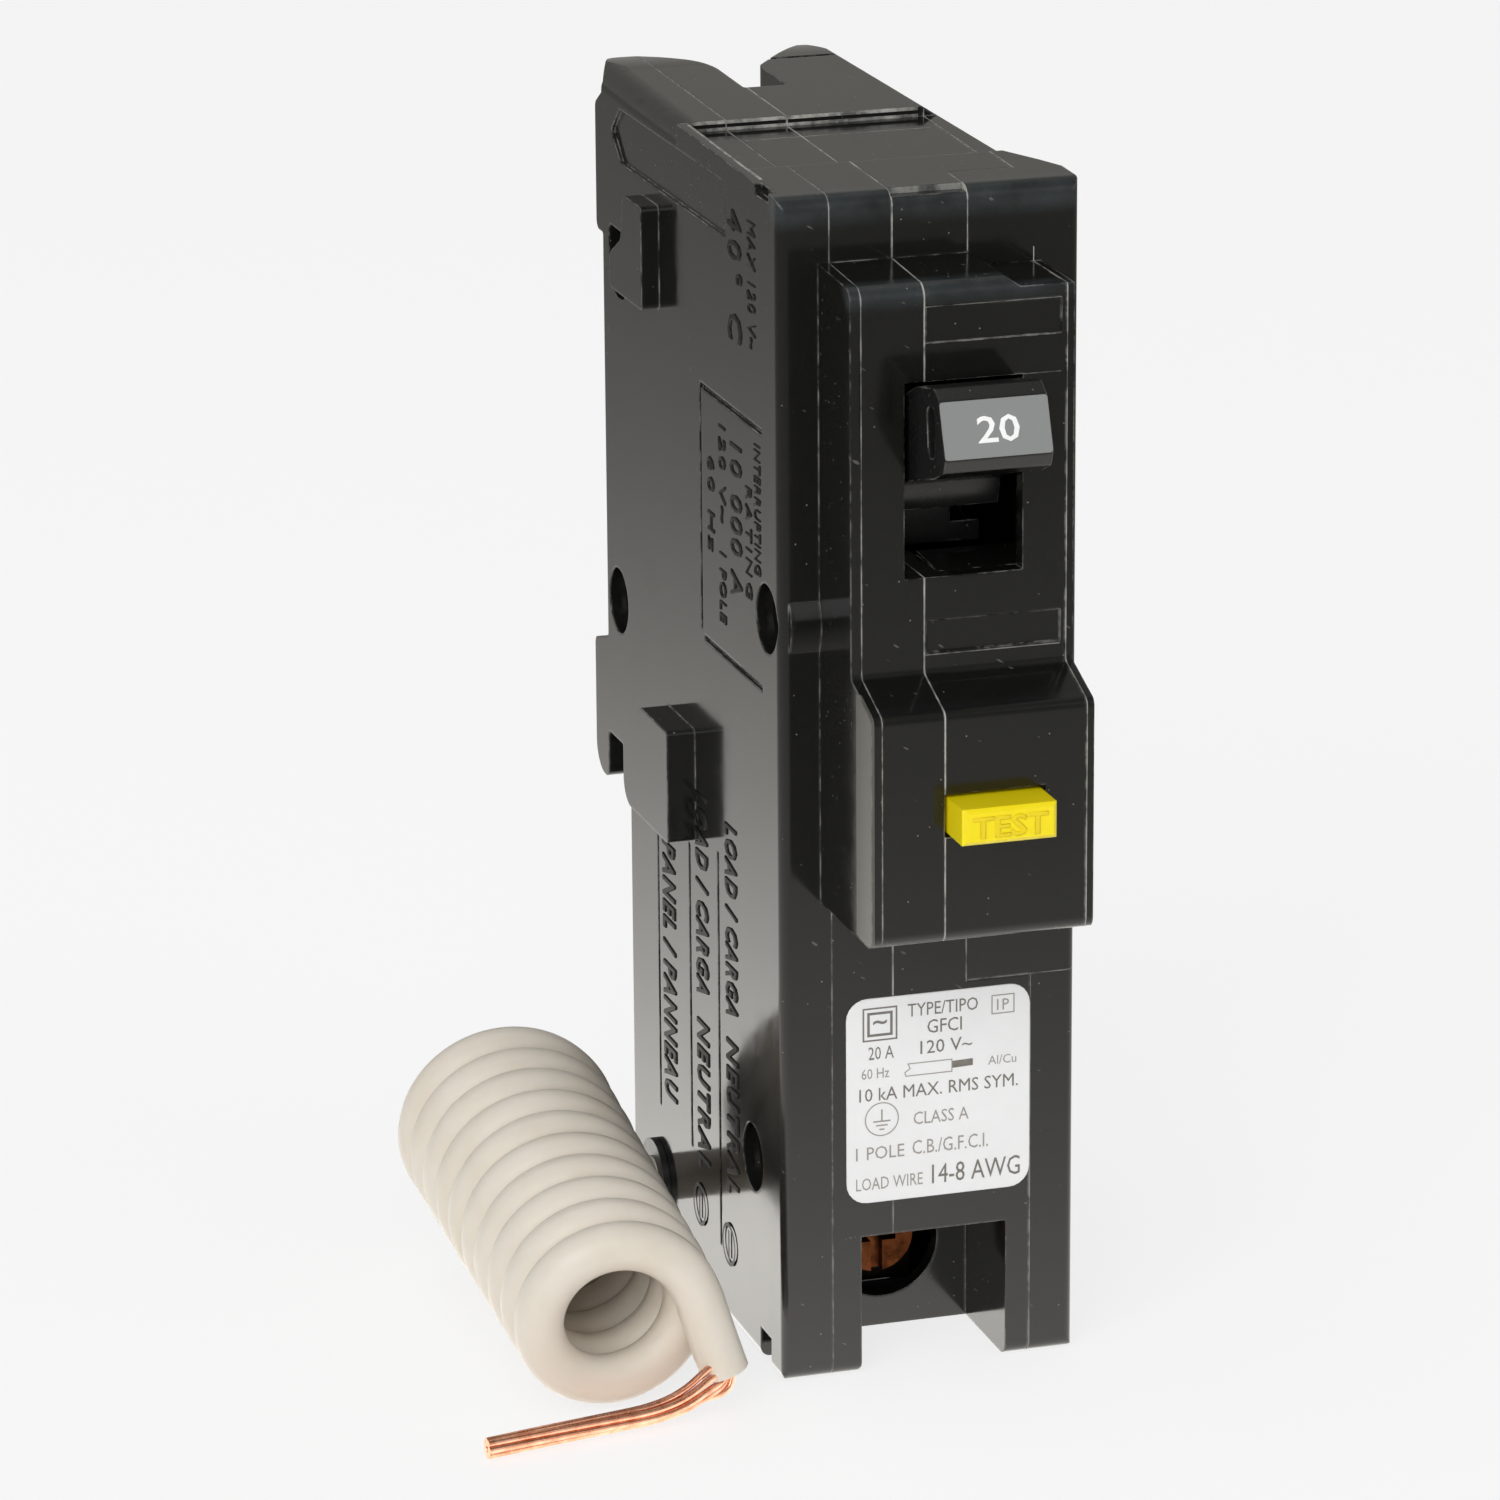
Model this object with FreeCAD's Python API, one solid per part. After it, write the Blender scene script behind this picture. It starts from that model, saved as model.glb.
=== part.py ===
# Single-pole ground-fault circuit breaker of the plug-on kind, with a coiled neutral pigtail.
# Millimetres. While modelling, X = 0 is the flat left side, Y = 0 the front shoulder and Z = 0 the
# underside. Everything is written out about the bottom centre of the breaker's own bounding box.
import FreeCAD, Part
import math
import os

V = FreeCAD.Vector

# ---------------------------------------------------------------- driving dimensions
WIDTH = 25.4                 # one pole, left side to right side
HEIGHT = 101.4               # underside to line end
WALL = 1.6                   # moulded wall
SKIN = 1.5                   # wall of the raised front and of the partitions

SEAM_COVER = 4.3             # left cover | electronics case
SEAM_PARTITION = 9.55        # electronics case | mechanism case
SEAM_RIGHT = WIDTH - 4.0     # mechanism case | right cover
SEAM_TAB = SEAM_RIGHT - 5.5  # how far the right cover's two tabs reach to the left
TAB_DEPTH = 5.0
LOW_TAB_HEIGHT = 8.0         # of the lower tab, under the test block

UPPER_REAR = 50.0            # rear of the upper body
LOWER_REAR = 43.5            # rear of the lower body
STEP_Z = 37.4                # where the lower body widens towards the hook
EDGE_ROUND = 1.2
CORNER_ROUND = 0.8           # upright front edges and the feet of the legs
TOP_LEFT_ROUND = 2.0         # long edge between line end and left side
LINE_END_FALL = 1.2          # the line end falls this much from the rear to the front
LINE_END_WALL = 2.0
RECESS_FRONT = 10.8          # shallow recess across the line end
RECESS_REAR = 27.6
RECESS_LEFT = 1.0
RECESS_DEPTH = 0.8
NICK_FRONT = 2.2             # small nick in the line end's left edge
NICK_REAR = 5.8
NICK_DEPTH = 0.75
PARTING_STEP = 0.45          # down from the line end to the right cover's tab

NOTCH_FRONT = 45.6           # rail notch behind the lower body
NOTCH_REAR = 50.4
NOTCH_TOP = 42.3
HOOK_REAR = 54.2
HOOK_TIP_Z = 37.9
HOOK_TOP_Z = 49.8
FOOT_REAR = 52.0             # bearing foot near the line end
FOOT_LOW_Z = HEIGHT - 14.4
FOOT_HIGH_Z = HEIGHT - 3.4
SLOPE_WIDTH = 4.8            # sloped edge along the top right
SLOPE_DROP = 3.1
SLOPE_RUNOUT_Y = 12.0
HORN_REAR = 55.0             # guides on both sides of the stab slot

RAISED_LEFT = 3.4            # raised front, between the two side shoulders
RAISED_RIGHT = WIDTH - 3.3
RAISED_OUT = 8.1
RAISED_TOP_Z = HEIGHT - 6.5
RAISED_STEP_Z = RAISED_TOP_Z - 1.2   # its right part is lower
TEST_OUT = 13.3              # block that carries the test button
TEST_LOW_Z = HEIGHT - 59.8
TEST_HIGH_Z = TEST_LOW_Z + 19.2
TEST_SLOPE_Z = TEST_HIGH_Z + 1.9

WINDOW_LEFT = 7.9            # handle window
WINDOW_RIGHT = WIDTH - 7.6
WINDOW_LOW_Z = HEIGHT - 30.8
WINDOW_HIGH_Z = HEIGHT - 14.8
POCKET_DEPTH = 4.0           # how far behind the shoulder the handle pocket reaches

PIVOT_Y = 4.0                # handle pivot
PIVOT_Z = HEIGHT - 22.8
DRUM_R = 8.3
DRUM_GAP = 0.5
TRUNNION_R = 2.0
PIVOT_FIT = 0.05             # radial running clearance of every shaft
HANDLE_SIDE_GAP = 0.5

BUTTON_WIDTH = 0.5 * (WIDTH - SEAM_PARTITION)
BUTTON_HEIGHT = 3.0
BUTTON_LEFT = 9.8
BUTTON_LOW_Z = TEST_LOW_Z + 9.2
BUTTON_OUT = 17.0
BUTTON_GAP = 0.3
BUTTON_TRAVEL = 1.5
RIB_FRONT = -5.4             # rib that carries the button's spring
BUTTON_FLANGE = 1.4

LEG_SLOT_LEFT = 6.8          # terminal slot between the two front legs
LEG_SLOT_RIGHT = WIDTH - 6.0
LEG_SLOT_TOP_Z = 12.15
LEG_SLOT_DEPTH = 10.2
DRIVER_HOLE_R = 4.8
TERMINAL_X = 12.0
TERMINAL_Z = 7.4

STAB_SLOT_LEFT = 9.3         # slot for the panel's stab, open to the rear and to the line end
STAB_SLOT_RIGHT = 13.0
STAB_SLOT_FRONT = 38.8
STAB_SLOT_LOW_Z = HEIGHT - 22.4
JAW_LOW_Z = HEIGHT - 17.4
JAW_HIGH_Z = HEIGHT - 4.9
JAW_METAL = 0.8

RIVET_PLACES = ((46.5, 55.1), (3.4, HEIGHT - 36.4), (8.3, 17.1))   # (y, z)
RIVET_HEAD_R = 2.3
RIVET_SHANK_R = 1.4
RIVET_SINK = 2.4
RIVET_POCKET_R = 2.9
RIVET_POST_R = 4.0

JAW_BOSS_OUT = 1.6           # the two bosses on the left side
LOWER_BOSS_OUT = 2.5

LUG_WIDTH = 7.2
LUG_DEPTH = 7.0
LUG_FRONT = 14.0
LUG_LOW_Z = 2.4
LUG_HEIGHT = 10.0
WIRE_BORE_R = 2.6
SCREW_R = 2.05
SCREW_HEAD_R = 3.2
SCREW_HEAD = 1.8

NEUTRAL_X = 5.1
NEUTRAL_Y = LUG_FRONT + LUG_DEPTH + 6.4
NEUTRAL_PLATE_Z = 5.2
NEUTRAL_SCREW_R = 1.5
NEUTRAL_HEAD_R = 2.5

BOARD_X = 1.9                # circuit board, parallel to the left side
BOARD_THICK = 1.0
BOARD_LOW_Z = 17.0
BOARD_HIGH_Z = PIVOT_Z - 2.6

ARM_PIVOT_Y = 14.0           # contact arm
ARM_PIVOT_Z = PIVOT_Z - 7.6
MECHANISM = WIDTH - SEAM_PARTITION       # width of the mechanism half
ARM_X = SEAM_PARTITION + 0.32 * MECHANISM
ARM_THICK = 2.4
CONTACT_Z = ARM_PIVOT_Z + 17.0
CONTACT_GAP = 0.3
FIXED_PAD_Y = 30.0

CRADLE_PIVOT_Y = 10.5
CRADLE_PIVOT_Z = PIVOT_Z - 23.1
CRADLE_X = SEAM_PARTITION + 0.56 * MECHANISM
CRADLE_THICK = 1.5
TOGGLE_X = SEAM_PARTITION + 0.76 * MECHANISM

ARMATURE_PIVOT_Z = CRADLE_PIVOT_Z + 1.5
ARMATURE_Y = 31.6
BIMETAL_Y = 37.4
BIMETAL_LEFT = SEAM_PARTITION + 0.23 * MECHANISM

BAR_PIVOT_Y = 27.0           # trip bar, across both halves
BAR_PIVOT_Z = CRADLE_PIVOT_Z + 11.0

WIRE_R = 2.05                # insulated pigtail wire
COIL_LENGTH = 36.5                       # front turn to rear turn, centre to centre
COIL_PITCH = 4.06
COIL_MEAN_FRONT = 6.5
COIL_MEAN_REAR = 7.45
COIL_REAR = V(-14.33, 33.3, 12.65)       # centre of the rear turn
COIL_FRONT = V(-14.95, COIL_REAR.y - 0.9946 * COIL_LENGTH, COIL_MEAN_FRONT + WIRE_R + 0.3)
TAIL_ANGLE = 18.0                        # where the tail leaves the front turn, above the horizontal
TAIL_LENGTH = 7.4
COPPER_R = 0.9
COPPER_CORE = 0.8            # how far the core is modelled inside the insulation
COPPER_DROP = 2.5            # how far the bare strands run on straight before they fold over
COPPER_ROUTE = ((5.35, -3.3, 1.35), (-2.85, -4.0, 1.5), (-12.95, -5.9, 1.3))   # x, y from the coil's front; z
GROMMET_R = 2.9
GROMMET_OUT = 0.6

# ---------------------------------------------------------------- the part's origin
ORIGIN = V((WIDTH - LOWER_BOSS_OUT) / 2, (HORN_REAR - BUTTON_OUT) / 2, 0)


# ---------------------------------------------------------------- shape helpers
def rounded_wire(corners, place):
    """Closed wire through (a, b, radius) corners; place(a, b) gives the point in space."""
    count = len(corners)
    starts, ends, edges = [], [], []
    for i in range(count):
        a, b, radius = corners[i]
        here = V(a, b, 0)
        before = V(corners[i - 1][0], corners[i - 1][1], 0) - here
        after = V(corners[(i + 1) % count][0], corners[(i + 1) % count][1], 0) - here
        if radius <= 0:
            starts.append(here)
            ends.append(here)
            continue
        half = before.getAngle(after) / 2
        back = radius / math.tan(half)
        before.normalize()
        after.normalize()
        start = here + before * back
        end = here + after * back
        middle = before + after
        middle.normalize()
        apex = here + middle * (radius / math.sin(half) - radius)
        starts.append(start)
        ends.append(end)
        edges.append((i, Part.Arc(place(start.x, start.y), place(apex.x, apex.y), place(end.x, end.y))))
    arcs = dict(edges)
    path = []
    for i in range(count):
        if i in arcs:
            path.append(arcs[i].toShape())
        leave = ends[i]
        arrive = starts[(i + 1) % count]
        if (arrive - leave).Length > 1e-6:
            path.append(Part.makeLine(place(leave.x, leave.y), place(arrive.x, arrive.y)))
    return Part.Wire(path)


def side_slab(corners, x0, x1):
    """Outline in the side view, (y, z, radius) corners, from x0 to x1."""
    wire = rounded_wire(corners, lambda a, b: V(x0, a, b))
    return Part.Face(wire).extrude(V(x1 - x0, 0, 0))


def plan_slab(corners, z0, z1):
    """Outline in the top view, (x, y, radius) corners, from z0 to z1."""
    wire = rounded_wire(corners, lambda a, b: V(a, b, z0))
    return Part.Face(wire).extrude(V(0, 0, z1 - z0))


def front_slab(corners, y0, y1):
    """Outline in the front view, (x, z, radius) corners, from y0 to y1."""
    wire = rounded_wire(corners, lambda a, b: V(a, y0, b))
    return Part.Face(wire).extrude(V(0, y1 - y0, 0))


def box(x0, x1, y0, y1, z0, z1):
    return Part.makeBox(x1 - x0, y1 - y0, z1 - z0, V(x0, y0, z0))


def rod_x(y, z, radius, x0, x1):
    return Part.makeCylinder(radius, x1 - x0, V(x0, y, z), V(1, 0, 0))


def rod_y(x, z, radius, y0, y1):
    return Part.makeCylinder(radius, y1 - y0, V(x, y0, z), V(0, 1, 0))


def rod_z(x, y, radius, z0, z1):
    return Part.makeCylinder(radius, z1 - z0, V(x, y, z0), V(0, 0, 1))


def rod_between(start, end, radius):
    return Part.makeCylinder(radius, (end - start).Length, start, end - start)


def join(first, *others):
    return first.fuse(list(others)).removeSplitter()


def line_end(y):
    """Height of the line end's surface, which falls slightly towards the front."""
    return HEIGHT - LINE_END_FALL * (1 - y / UPPER_REAR)


def corner_stock(a, b, to_a, to_b, radius):
    """Corners of the section that is taken off to round the edge at (a, b); to_a and to_b are +1 or -1."""
    return [(a - to_a, b + to_b * radius, 0), (a, b + to_b * radius, 0), (a, b, radius),
            (a + to_a * radius, b, 0), (a + to_a * radius, b - to_b, 0), (a - to_a, b - to_b, 0)]


# ---------------------------------------------------------------- outlines the mouldings share
BODY_OUTLINE = [
    (0, 0, EDGE_ROUND), (LOWER_REAR, 0, EDGE_ROUND), (LOWER_REAR, STEP_Z, 0.8),
    (NOTCH_FRONT, STEP_Z + 2.1, 0.5), (NOTCH_FRONT, NOTCH_TOP, 0.6), (NOTCH_REAR, NOTCH_TOP, 0.6),
    (NOTCH_REAR, HOOK_TIP_Z, 0.8), (HOOK_REAR, HOOK_TIP_Z, 2.6), (HOOK_REAR, HOOK_TOP_Z, 0.8),
    (UPPER_REAR, HOOK_TOP_Z + 1.2, 0.4), (UPPER_REAR, FOOT_LOW_Z, 0.3), (FOOT_REAR, FOOT_LOW_Z, 0.8),
    (FOOT_REAR, FOOT_HIGH_Z, 0.8), (UPPER_REAR, FOOT_HIGH_Z + 1.2, 0.3),
    (UPPER_REAR, HEIGHT, 1.6), (0, line_end(0), EDGE_ROUND)]

RAISED_OUTLINE = [
    (WALL, RAISED_TOP_Z, 0), (-RAISED_OUT, RAISED_TOP_Z - 0.5, EDGE_ROUND),
    (-RAISED_OUT, TEST_SLOPE_Z, 0.5), (-TEST_OUT, TEST_HIGH_Z, 0.8), (-TEST_OUT, TEST_LOW_Z, 1.0),
    (WALL, TEST_LOW_Z, 0)]

BEHIND_SLOT = LEG_SLOT_DEPTH + SKIN
ABOVE_SLOT = LEG_SLOT_TOP_Z + SKIN
CAVITY_OUTLINE = [
    (WALL, ABOVE_SLOT, 0.5), (BEHIND_SLOT, ABOVE_SLOT, 0.5), (BEHIND_SLOT, WALL, 0.5),
    (LOWER_REAR - WALL, WALL, 0.5), (LOWER_REAR - WALL, STEP_Z + 0.8, 0.5),
    (NOTCH_FRONT - WALL, STEP_Z + 2.8, 0.5), (NOTCH_FRONT - WALL, NOTCH_TOP + WALL, 0.5),
    (UPPER_REAR - WALL, NOTCH_TOP + WALL, 0.5),
    (UPPER_REAR - WALL, HEIGHT - LINE_END_WALL, 0.5), (WALL, line_end(0) - LINE_END_WALL, 0.5)]

RAISED_CAVITY = [
    (WALL + 1, RAISED_TOP_Z - WALL - 0.4, 0), (SKIN - RAISED_OUT, RAISED_TOP_Z - WALL - 0.4, 0.4),
    (SKIN - RAISED_OUT, TEST_SLOPE_Z - 1.1, 0.4), (SKIN - TEST_OUT, TEST_HIGH_Z - 1.3, 0.4),
    (SKIN - TEST_OUT, TEST_LOW_Z + SKIN, 0.4), (WALL + 1, TEST_LOW_Z + SKIN, 0)]

STAB_SLOT_PLAN = [
    (STAB_SLOT_LEFT, STAB_SLOT_FRONT, 0.3), (STAB_SLOT_RIGHT, STAB_SLOT_FRONT, 0.3),
    (STAB_SLOT_RIGHT, UPPER_REAR - 3.6, 2.0), (STAB_SLOT_RIGHT + 6.1, HORN_REAR, 0),
    (STAB_SLOT_RIGHT + 8.2, HORN_REAR + 3, 0), (STAB_SLOT_LEFT - 7.1, HORN_REAR + 3, 0),
    (STAB_SLOT_LEFT - 4.8, HORN_REAR, 0), (STAB_SLOT_LEFT, UPPER_REAR - 1.3, 8.0)]


def body_block(x0, x1):
    """Outer form of a moulding between two seams, before it is hollowed."""
    block = side_slab(BODY_OUTLINE, x0, x1)
    low = max(x0, RAISED_LEFT)
    high = min(x1, RAISED_RIGHT)
    return join(block, side_slab(RAISED_OUTLINE, low, high))


RAISED_WALL = 0.9            # side wall that each inner moulding has of its own at the raised front


def hollow(x0, x1):
    """Cavity between two seams; the raised front keeps its side walls."""
    low = max(x0, SEAM_COVER + RAISED_WALL)
    high = min(x1, SEAM_RIGHT - RAISED_WALL)
    room = side_slab(CAVITY_OUTLINE, x0, x1)
    if high > low:
        room = room.fuse(side_slab(RAISED_CAVITY, low, high))
    return room


def guide_horns(x0, x1):
    """Guides on both sides of the stab slot, cut to one moulding's width."""
    low = STAB_SLOT_LOW_Z
    y = UPPER_REAR - 1
    left = plan_slab([(0, y, 0), (0, UPPER_REAR - 0.4, 2.0), (2.1, HORN_REAR, 1.6),
                      (STAB_SLOT_LEFT - 4.6, HORN_REAR, 2.0), (STAB_SLOT_LEFT + 0.5, y - 0.5, 0),
                      (STAB_SLOT_LEFT + 0.5, y - 1, 0), (1.0, y - 1, 0)], low, HEIGHT)
    right = plan_slab([(STAB_SLOT_RIGHT + 1.0, y, 0), (STAB_SLOT_RIGHT + 5.6, HORN_REAR, 0),
                       (STAB_SLOT_RIGHT + 6.9, HORN_REAR, 0.6),
                       (STAB_SLOT_RIGHT + 8.0, UPPER_REAR - 0.4, 0.5), (STAB_SLOT_RIGHT + 8.0, y, 0)],
                      low, HEIGHT)
    trim = box(x0, x1, y - 1, HORN_REAR + 1, low - 1, HEIGHT + 1)
    crown = rod_x(UPPER_REAR, HEIGHT - CROWN_R, CROWN_R, x0, x1)
    return left.fuse(right).common(trim).common(crown)


CROWN_R = 40.0               # the guides' tops are very slightly arched


def line_end_relief():
    """Recess across the line end, nick in its left edge and parting step at the front."""
    front, rear = line_end(RECESS_FRONT) - RECESS_DEPTH, line_end(RECESS_REAR) - RECESS_DEPTH
    recess = side_slab([(RECESS_FRONT, front, 0), (RECESS_REAR, rear, 0), (RECESS_REAR, HEIGHT + 1, 0),
                        (RECESS_FRONT, HEIGHT + 1, 0)], RECESS_LEFT, WIDTH + 1)
    nick = box(-1, 0.6, NICK_FRONT, NICK_REAR, line_end(NICK_FRONT) - NICK_DEPTH, HEIGHT + 1)
    step = box(SEAM_PARTITION, SEAM_TAB, -1, 1.3, line_end(0) - PARTING_STEP, HEIGHT + 1)
    return recess.fuse([nick, step])


def left_roundings():
    """Stock that rounds the left cover's long edges."""
    upright = plan_slab(corner_stock(0, 0, 1, 1, CORNER_ROUND), -1, HEIGHT + 1)
    foot = front_slab(corner_stock(0, 0, 1, 1, CORNER_ROUND), -1, LOWER_REAR + 1)
    run = HORN_REAR + 1 - RECESS_REAR
    corners = corner_stock(0, line_end(RECESS_REAR), 1, -1, TOP_LEFT_ROUND)
    section = Part.Face(rounded_wire(corners, lambda a, b: V(a, RECESS_REAR, b)))
    shoulder = section.extrude(V(0, run, run * LINE_END_FALL / UPPER_REAR))
    return [upright, foot, shoulder]


def right_roundings():
    """Stock that rounds the right cover's long edges."""
    upright = plan_slab(corner_stock(WIDTH, 0, -1, 1, CORNER_ROUND), -1, HEIGHT + 1)
    foot = front_slab(corner_stock(WIDTH, 0, -1, 1, CORNER_ROUND), -1, LOWER_REAR + 1)
    return [upright, foot]


def front_relief():
    """Shallow label fields above and below the handle window."""
    left, right = SEAM_PARTITION + 0.2, SEAM_RIGHT - 0.4
    upper = box(left, right, -RAISED_OUT - 1, 0.2 - RAISED_OUT, RAISED_TOP_Z - 5.2, RAISED_TOP_Z - 2.3)
    lower = box(left, right, -RAISED_OUT - 1, 0.2 - RAISED_OUT, TEST_SLOPE_Z + 1.7, TEST_SLOPE_Z + 4.3)
    return upper.fuse(lower)


def rivet_posts(x0, x1):
    return [rod_x(y, z, RIVET_POST_R, x0, x1) for y, z in RIVET_PLACES]


def rivet_bores(x0, x1):
    return [rod_x(y, z, RIVET_SHANK_R + 0.05, x0, x1) for y, z in RIVET_PLACES]


def leg_slot():
    slot = box(LEG_SLOT_LEFT, LEG_SLOT_RIGHT, -2, LEG_SLOT_DEPTH, -1, LEG_SLOT_TOP_Z)
    foot = front_slab(corner_stock(LEG_SLOT_LEFT, 0, -1, 1, CORNER_ROUND), -1, LEG_SLOT_DEPTH)
    driver_hole = rod_y(TERMINAL_X, TERMINAL_Z, DRIVER_HOLE_R, LEG_SLOT_DEPTH - 1, BEHIND_SLOT + 0.1)
    wire_hole = rod_z(TERMINAL_X, LUG_FRONT + LUG_DEPTH / 2, WIRE_BORE_R + 0.3, -1, WALL + 0.1)
    return slot.fuse([foot, driver_hole, wire_hole])


LUG_POCKET_LEFT = TERMINAL_X - LUG_WIDTH / 2 - 0.3
LUG_POCKET_REAR = LUG_FRONT + LUG_DEPTH + 0.3


def lug_pocket():
    top = LUG_LOW_Z + LUG_HEIGHT + 0.3
    return box(LUG_POCKET_LEFT, SEAM_PARTITION + SKIN + 0.1, BEHIND_SLOT, LUG_POCKET_REAR, WALL, top)


def neutral_mouth():
    """Opening in the underside for the load neutral wire and its screw."""
    return box(NEUTRAL_X - 2.7, NEUTRAL_X + 2.7, NEUTRAL_Y - 4.3, NEUTRAL_Y + 3.2, -1, WALL + 0.1)


def handle_pocket():
    """Window, drum recess and the room that the handle sweeps in the partition."""
    window = box(WINDOW_LEFT, WINDOW_RIGHT, -RAISED_OUT - 1, SKIN - RAISED_OUT + 0.1,
                 WINDOW_LOW_Z, WINDOW_HIGH_Z)
    sweep = box(WINDOW_LEFT, SEAM_PARTITION + SKIN + 0.1, -RAISED_OUT - 1, POCKET_DEPTH,
                WINDOW_LOW_Z, WINDOW_HIGH_Z)
    drum = rod_x(PIVOT_Y, PIVOT_Z, DRUM_R + DRUM_GAP, WINDOW_LEFT, SEAM_PARTITION + SKIN + 0.1)
    return window.fuse([sweep, drum])


def button_pocket():
    low = BUTTON_LOW_Z - BUTTON_GAP
    high = BUTTON_LOW_Z + BUTTON_HEIGHT + BUTTON_GAP
    hole = box(BUTTON_LEFT - BUTTON_GAP, BUTTON_LEFT + BUTTON_WIDTH + BUTTON_GAP,
               -TEST_OUT - 1, SKIN - TEST_OUT + 0.1, low, high)
    room = box(SEAM_PARTITION, SEAM_PARTITION + SKIN + 0.1, SKIN - TEST_OUT, -4.0,
               low - BUTTON_FLANGE - 0.3, high + BUTTON_FLANGE + 0.3)
    return hole.fuse(room)


def jaw_gate():
    """Opening in the stab slot's front wall for the jaw."""
    return box(SEAM_PARTITION, STAB_SLOT_RIGHT - 0.1, 35.6, STAB_SLOT_FRONT + 0.1,
               JAW_LOW_Z - 0.3, JAW_HIGH_Z + 0.3)


BAR_BORE_R = 1.6


# ---------------------------------------------------------------- mouldings
def side_cover():
    shell = body_block(0, SEAM_COVER).fuse(guide_horns(0, SEAM_COVER)).removeSplitter()
    shell = shell.cut(hollow(WALL, SEAM_COVER + 1))
    shell = join(shell, *rivet_posts(0.5, SEAM_COVER))
    z = JAW_LOW_Z
    jaw_boss = side_slab([(33.0, z, 0.4), (42.6, z, 0.6), (42.6, z + 2.9, 0.8), (39.1, z + 4.8, 1.0),
                          (38.4, z + 8.8, 0.8), (33.0, z + 8.8, 0.4)], -JAW_BOSS_OUT, 0.5)
    jaw_window = side_slab([(43.2, z - 1.8, 1.5), (46.8, z - 1.8, 1.5), (48.2, z + 0.6, 1.2),
                            (48.2, z + 4.2, 0.6), (43.2, z + 4.2, 0.6)], -1, WALL + 0.1)
    lower_boss = side_slab([(23.9, 40.0, 0.4), (37.1, 40.0, 2.2), (37.1, 45.4, 1.5), (31.8, 49.8, 0.8),
                            (23.9, 49.8, 0.4)], -LOWER_BOSS_OUT, 0.5)
    shell = join(shell.cut(left_roundings()), jaw_boss, lower_boss)
    low, high = HEIGHT - 7.2, HEIGHT - 2.6
    name_field = side_slab([(14.0, low, 0.3), (44.4, low, 0.5), (47.2, (low + high) / 2, 0.4),
                            (44.6, high, 0.5), (14.0, high, 0.3)], -0.1, 0.35)
    tools = [name_field, jaw_window, line_end_relief(), neutral_mouth(), *rivet_bores(-1, SEAM_COVER + 1)]
    for y, z in RIVET_PLACES:
        tools.append(rod_x(y, z, RIVET_POCKET_R, -1, RIVET_SINK))
    tools.append(rod_x(PIGTAIL_EXIT.y, PIGTAIL_EXIT.z, GROMMET_R, -1, WALL + 0.1))
    tools.append(box(-1, SEAM_COVER + 1, 3.4, 6.4, -1, 2.7))
    # Engraved frame of the rating field, and the three rules above the terminals.
    line = 0.35
    low, high = HEIGHT - 42.9, HEIGHT - 21.0
    for y0, y1, z0, z1 in ((21.2, 21.7, low + 0.9, high), (4.4, 21.6, high - 0.4, high + 0.1),
                           (4.6, 20.8, low, low + 0.5), (35.0, 35.5, 12.6, STEP_Z), (25.6, 26.1, 12.0, 39.3),
                           (17.3, 17.8, 6.0, 41.0)):
        tools.append(box(-1, line, y0, y1, z0, z1))
    tools.append(plan_slab(STAB_SLOT_PLAN, STAB_SLOT_LOW_Z, HEIGHT + 1))
    shell = shell.cut(tools)
    return shell.removeSplitter()


def electronics_case():
    shell = body_block(SEAM_COVER, SEAM_PARTITION)
    shell = shell.fuse(guide_horns(SEAM_COVER, SEAM_PARTITION)).removeSplitter()
    shell = shell.cut(hollow(SEAM_COVER - 1, SEAM_PARTITION - SKIN))
    shell = join(shell, *rivet_posts(SEAM_COVER, SEAM_PARTITION))
    lug_wall = box(LUG_POCKET_LEFT - SKIN, SEAM_PARTITION - SKIN, BEHIND_SLOT - 0.5,
                   LUG_POCKET_REAR + SKIN, WALL - 0.5, LUG_LOW_Z + LUG_HEIGHT + SKIN + 0.3)
    front, rear = 1 - RAISED_OUT, PIVOT_Y + 10
    handle_wall = side_slab([(front, WINDOW_LOW_Z - SKIN, 0), (rear, WINDOW_LOW_Z - SKIN, 3),
                             (rear, WINDOW_HIGH_Z + 2.5, 3), (front, WINDOW_HIGH_Z + SKIN, 0)],
                            WINDOW_LEFT - SKIN, SEAM_PARTITION - SKIN)
    bar_boss = rod_x(BAR_PIVOT_Y, BAR_PIVOT_Z, 3.0, SEAM_PARTITION - SKIN - 0.8, SEAM_PARTITION - SKIN + 0.1)
    shell = join(shell, lug_wall, handle_wall, bar_boss)
    stab_slot = plan_slab(STAB_SLOT_PLAN, STAB_SLOT_LOW_Z, HEIGHT + 1)
    trunnion = rod_x(PIVOT_Y, PIVOT_Z, TRUNNION_R + PIVOT_FIT, WINDOW_LEFT - 1.1, SEAM_PARTITION)
    bar_bore = rod_x(BAR_PIVOT_Y, BAR_PIVOT_Z, BAR_BORE_R + PIVOT_FIT, SEAM_COVER, SEAM_PARTITION + 1)
    shell = shell.cut([stab_slot, leg_slot(), lug_pocket(), handle_pocket(), trunnion, bar_bore,
                       neutral_mouth(), line_end_relief(), button_pocket(),
                       *rivet_bores(SEAM_COVER - 1, SEAM_PARTITION + 1)])
    return shell.removeSplitter()


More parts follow.
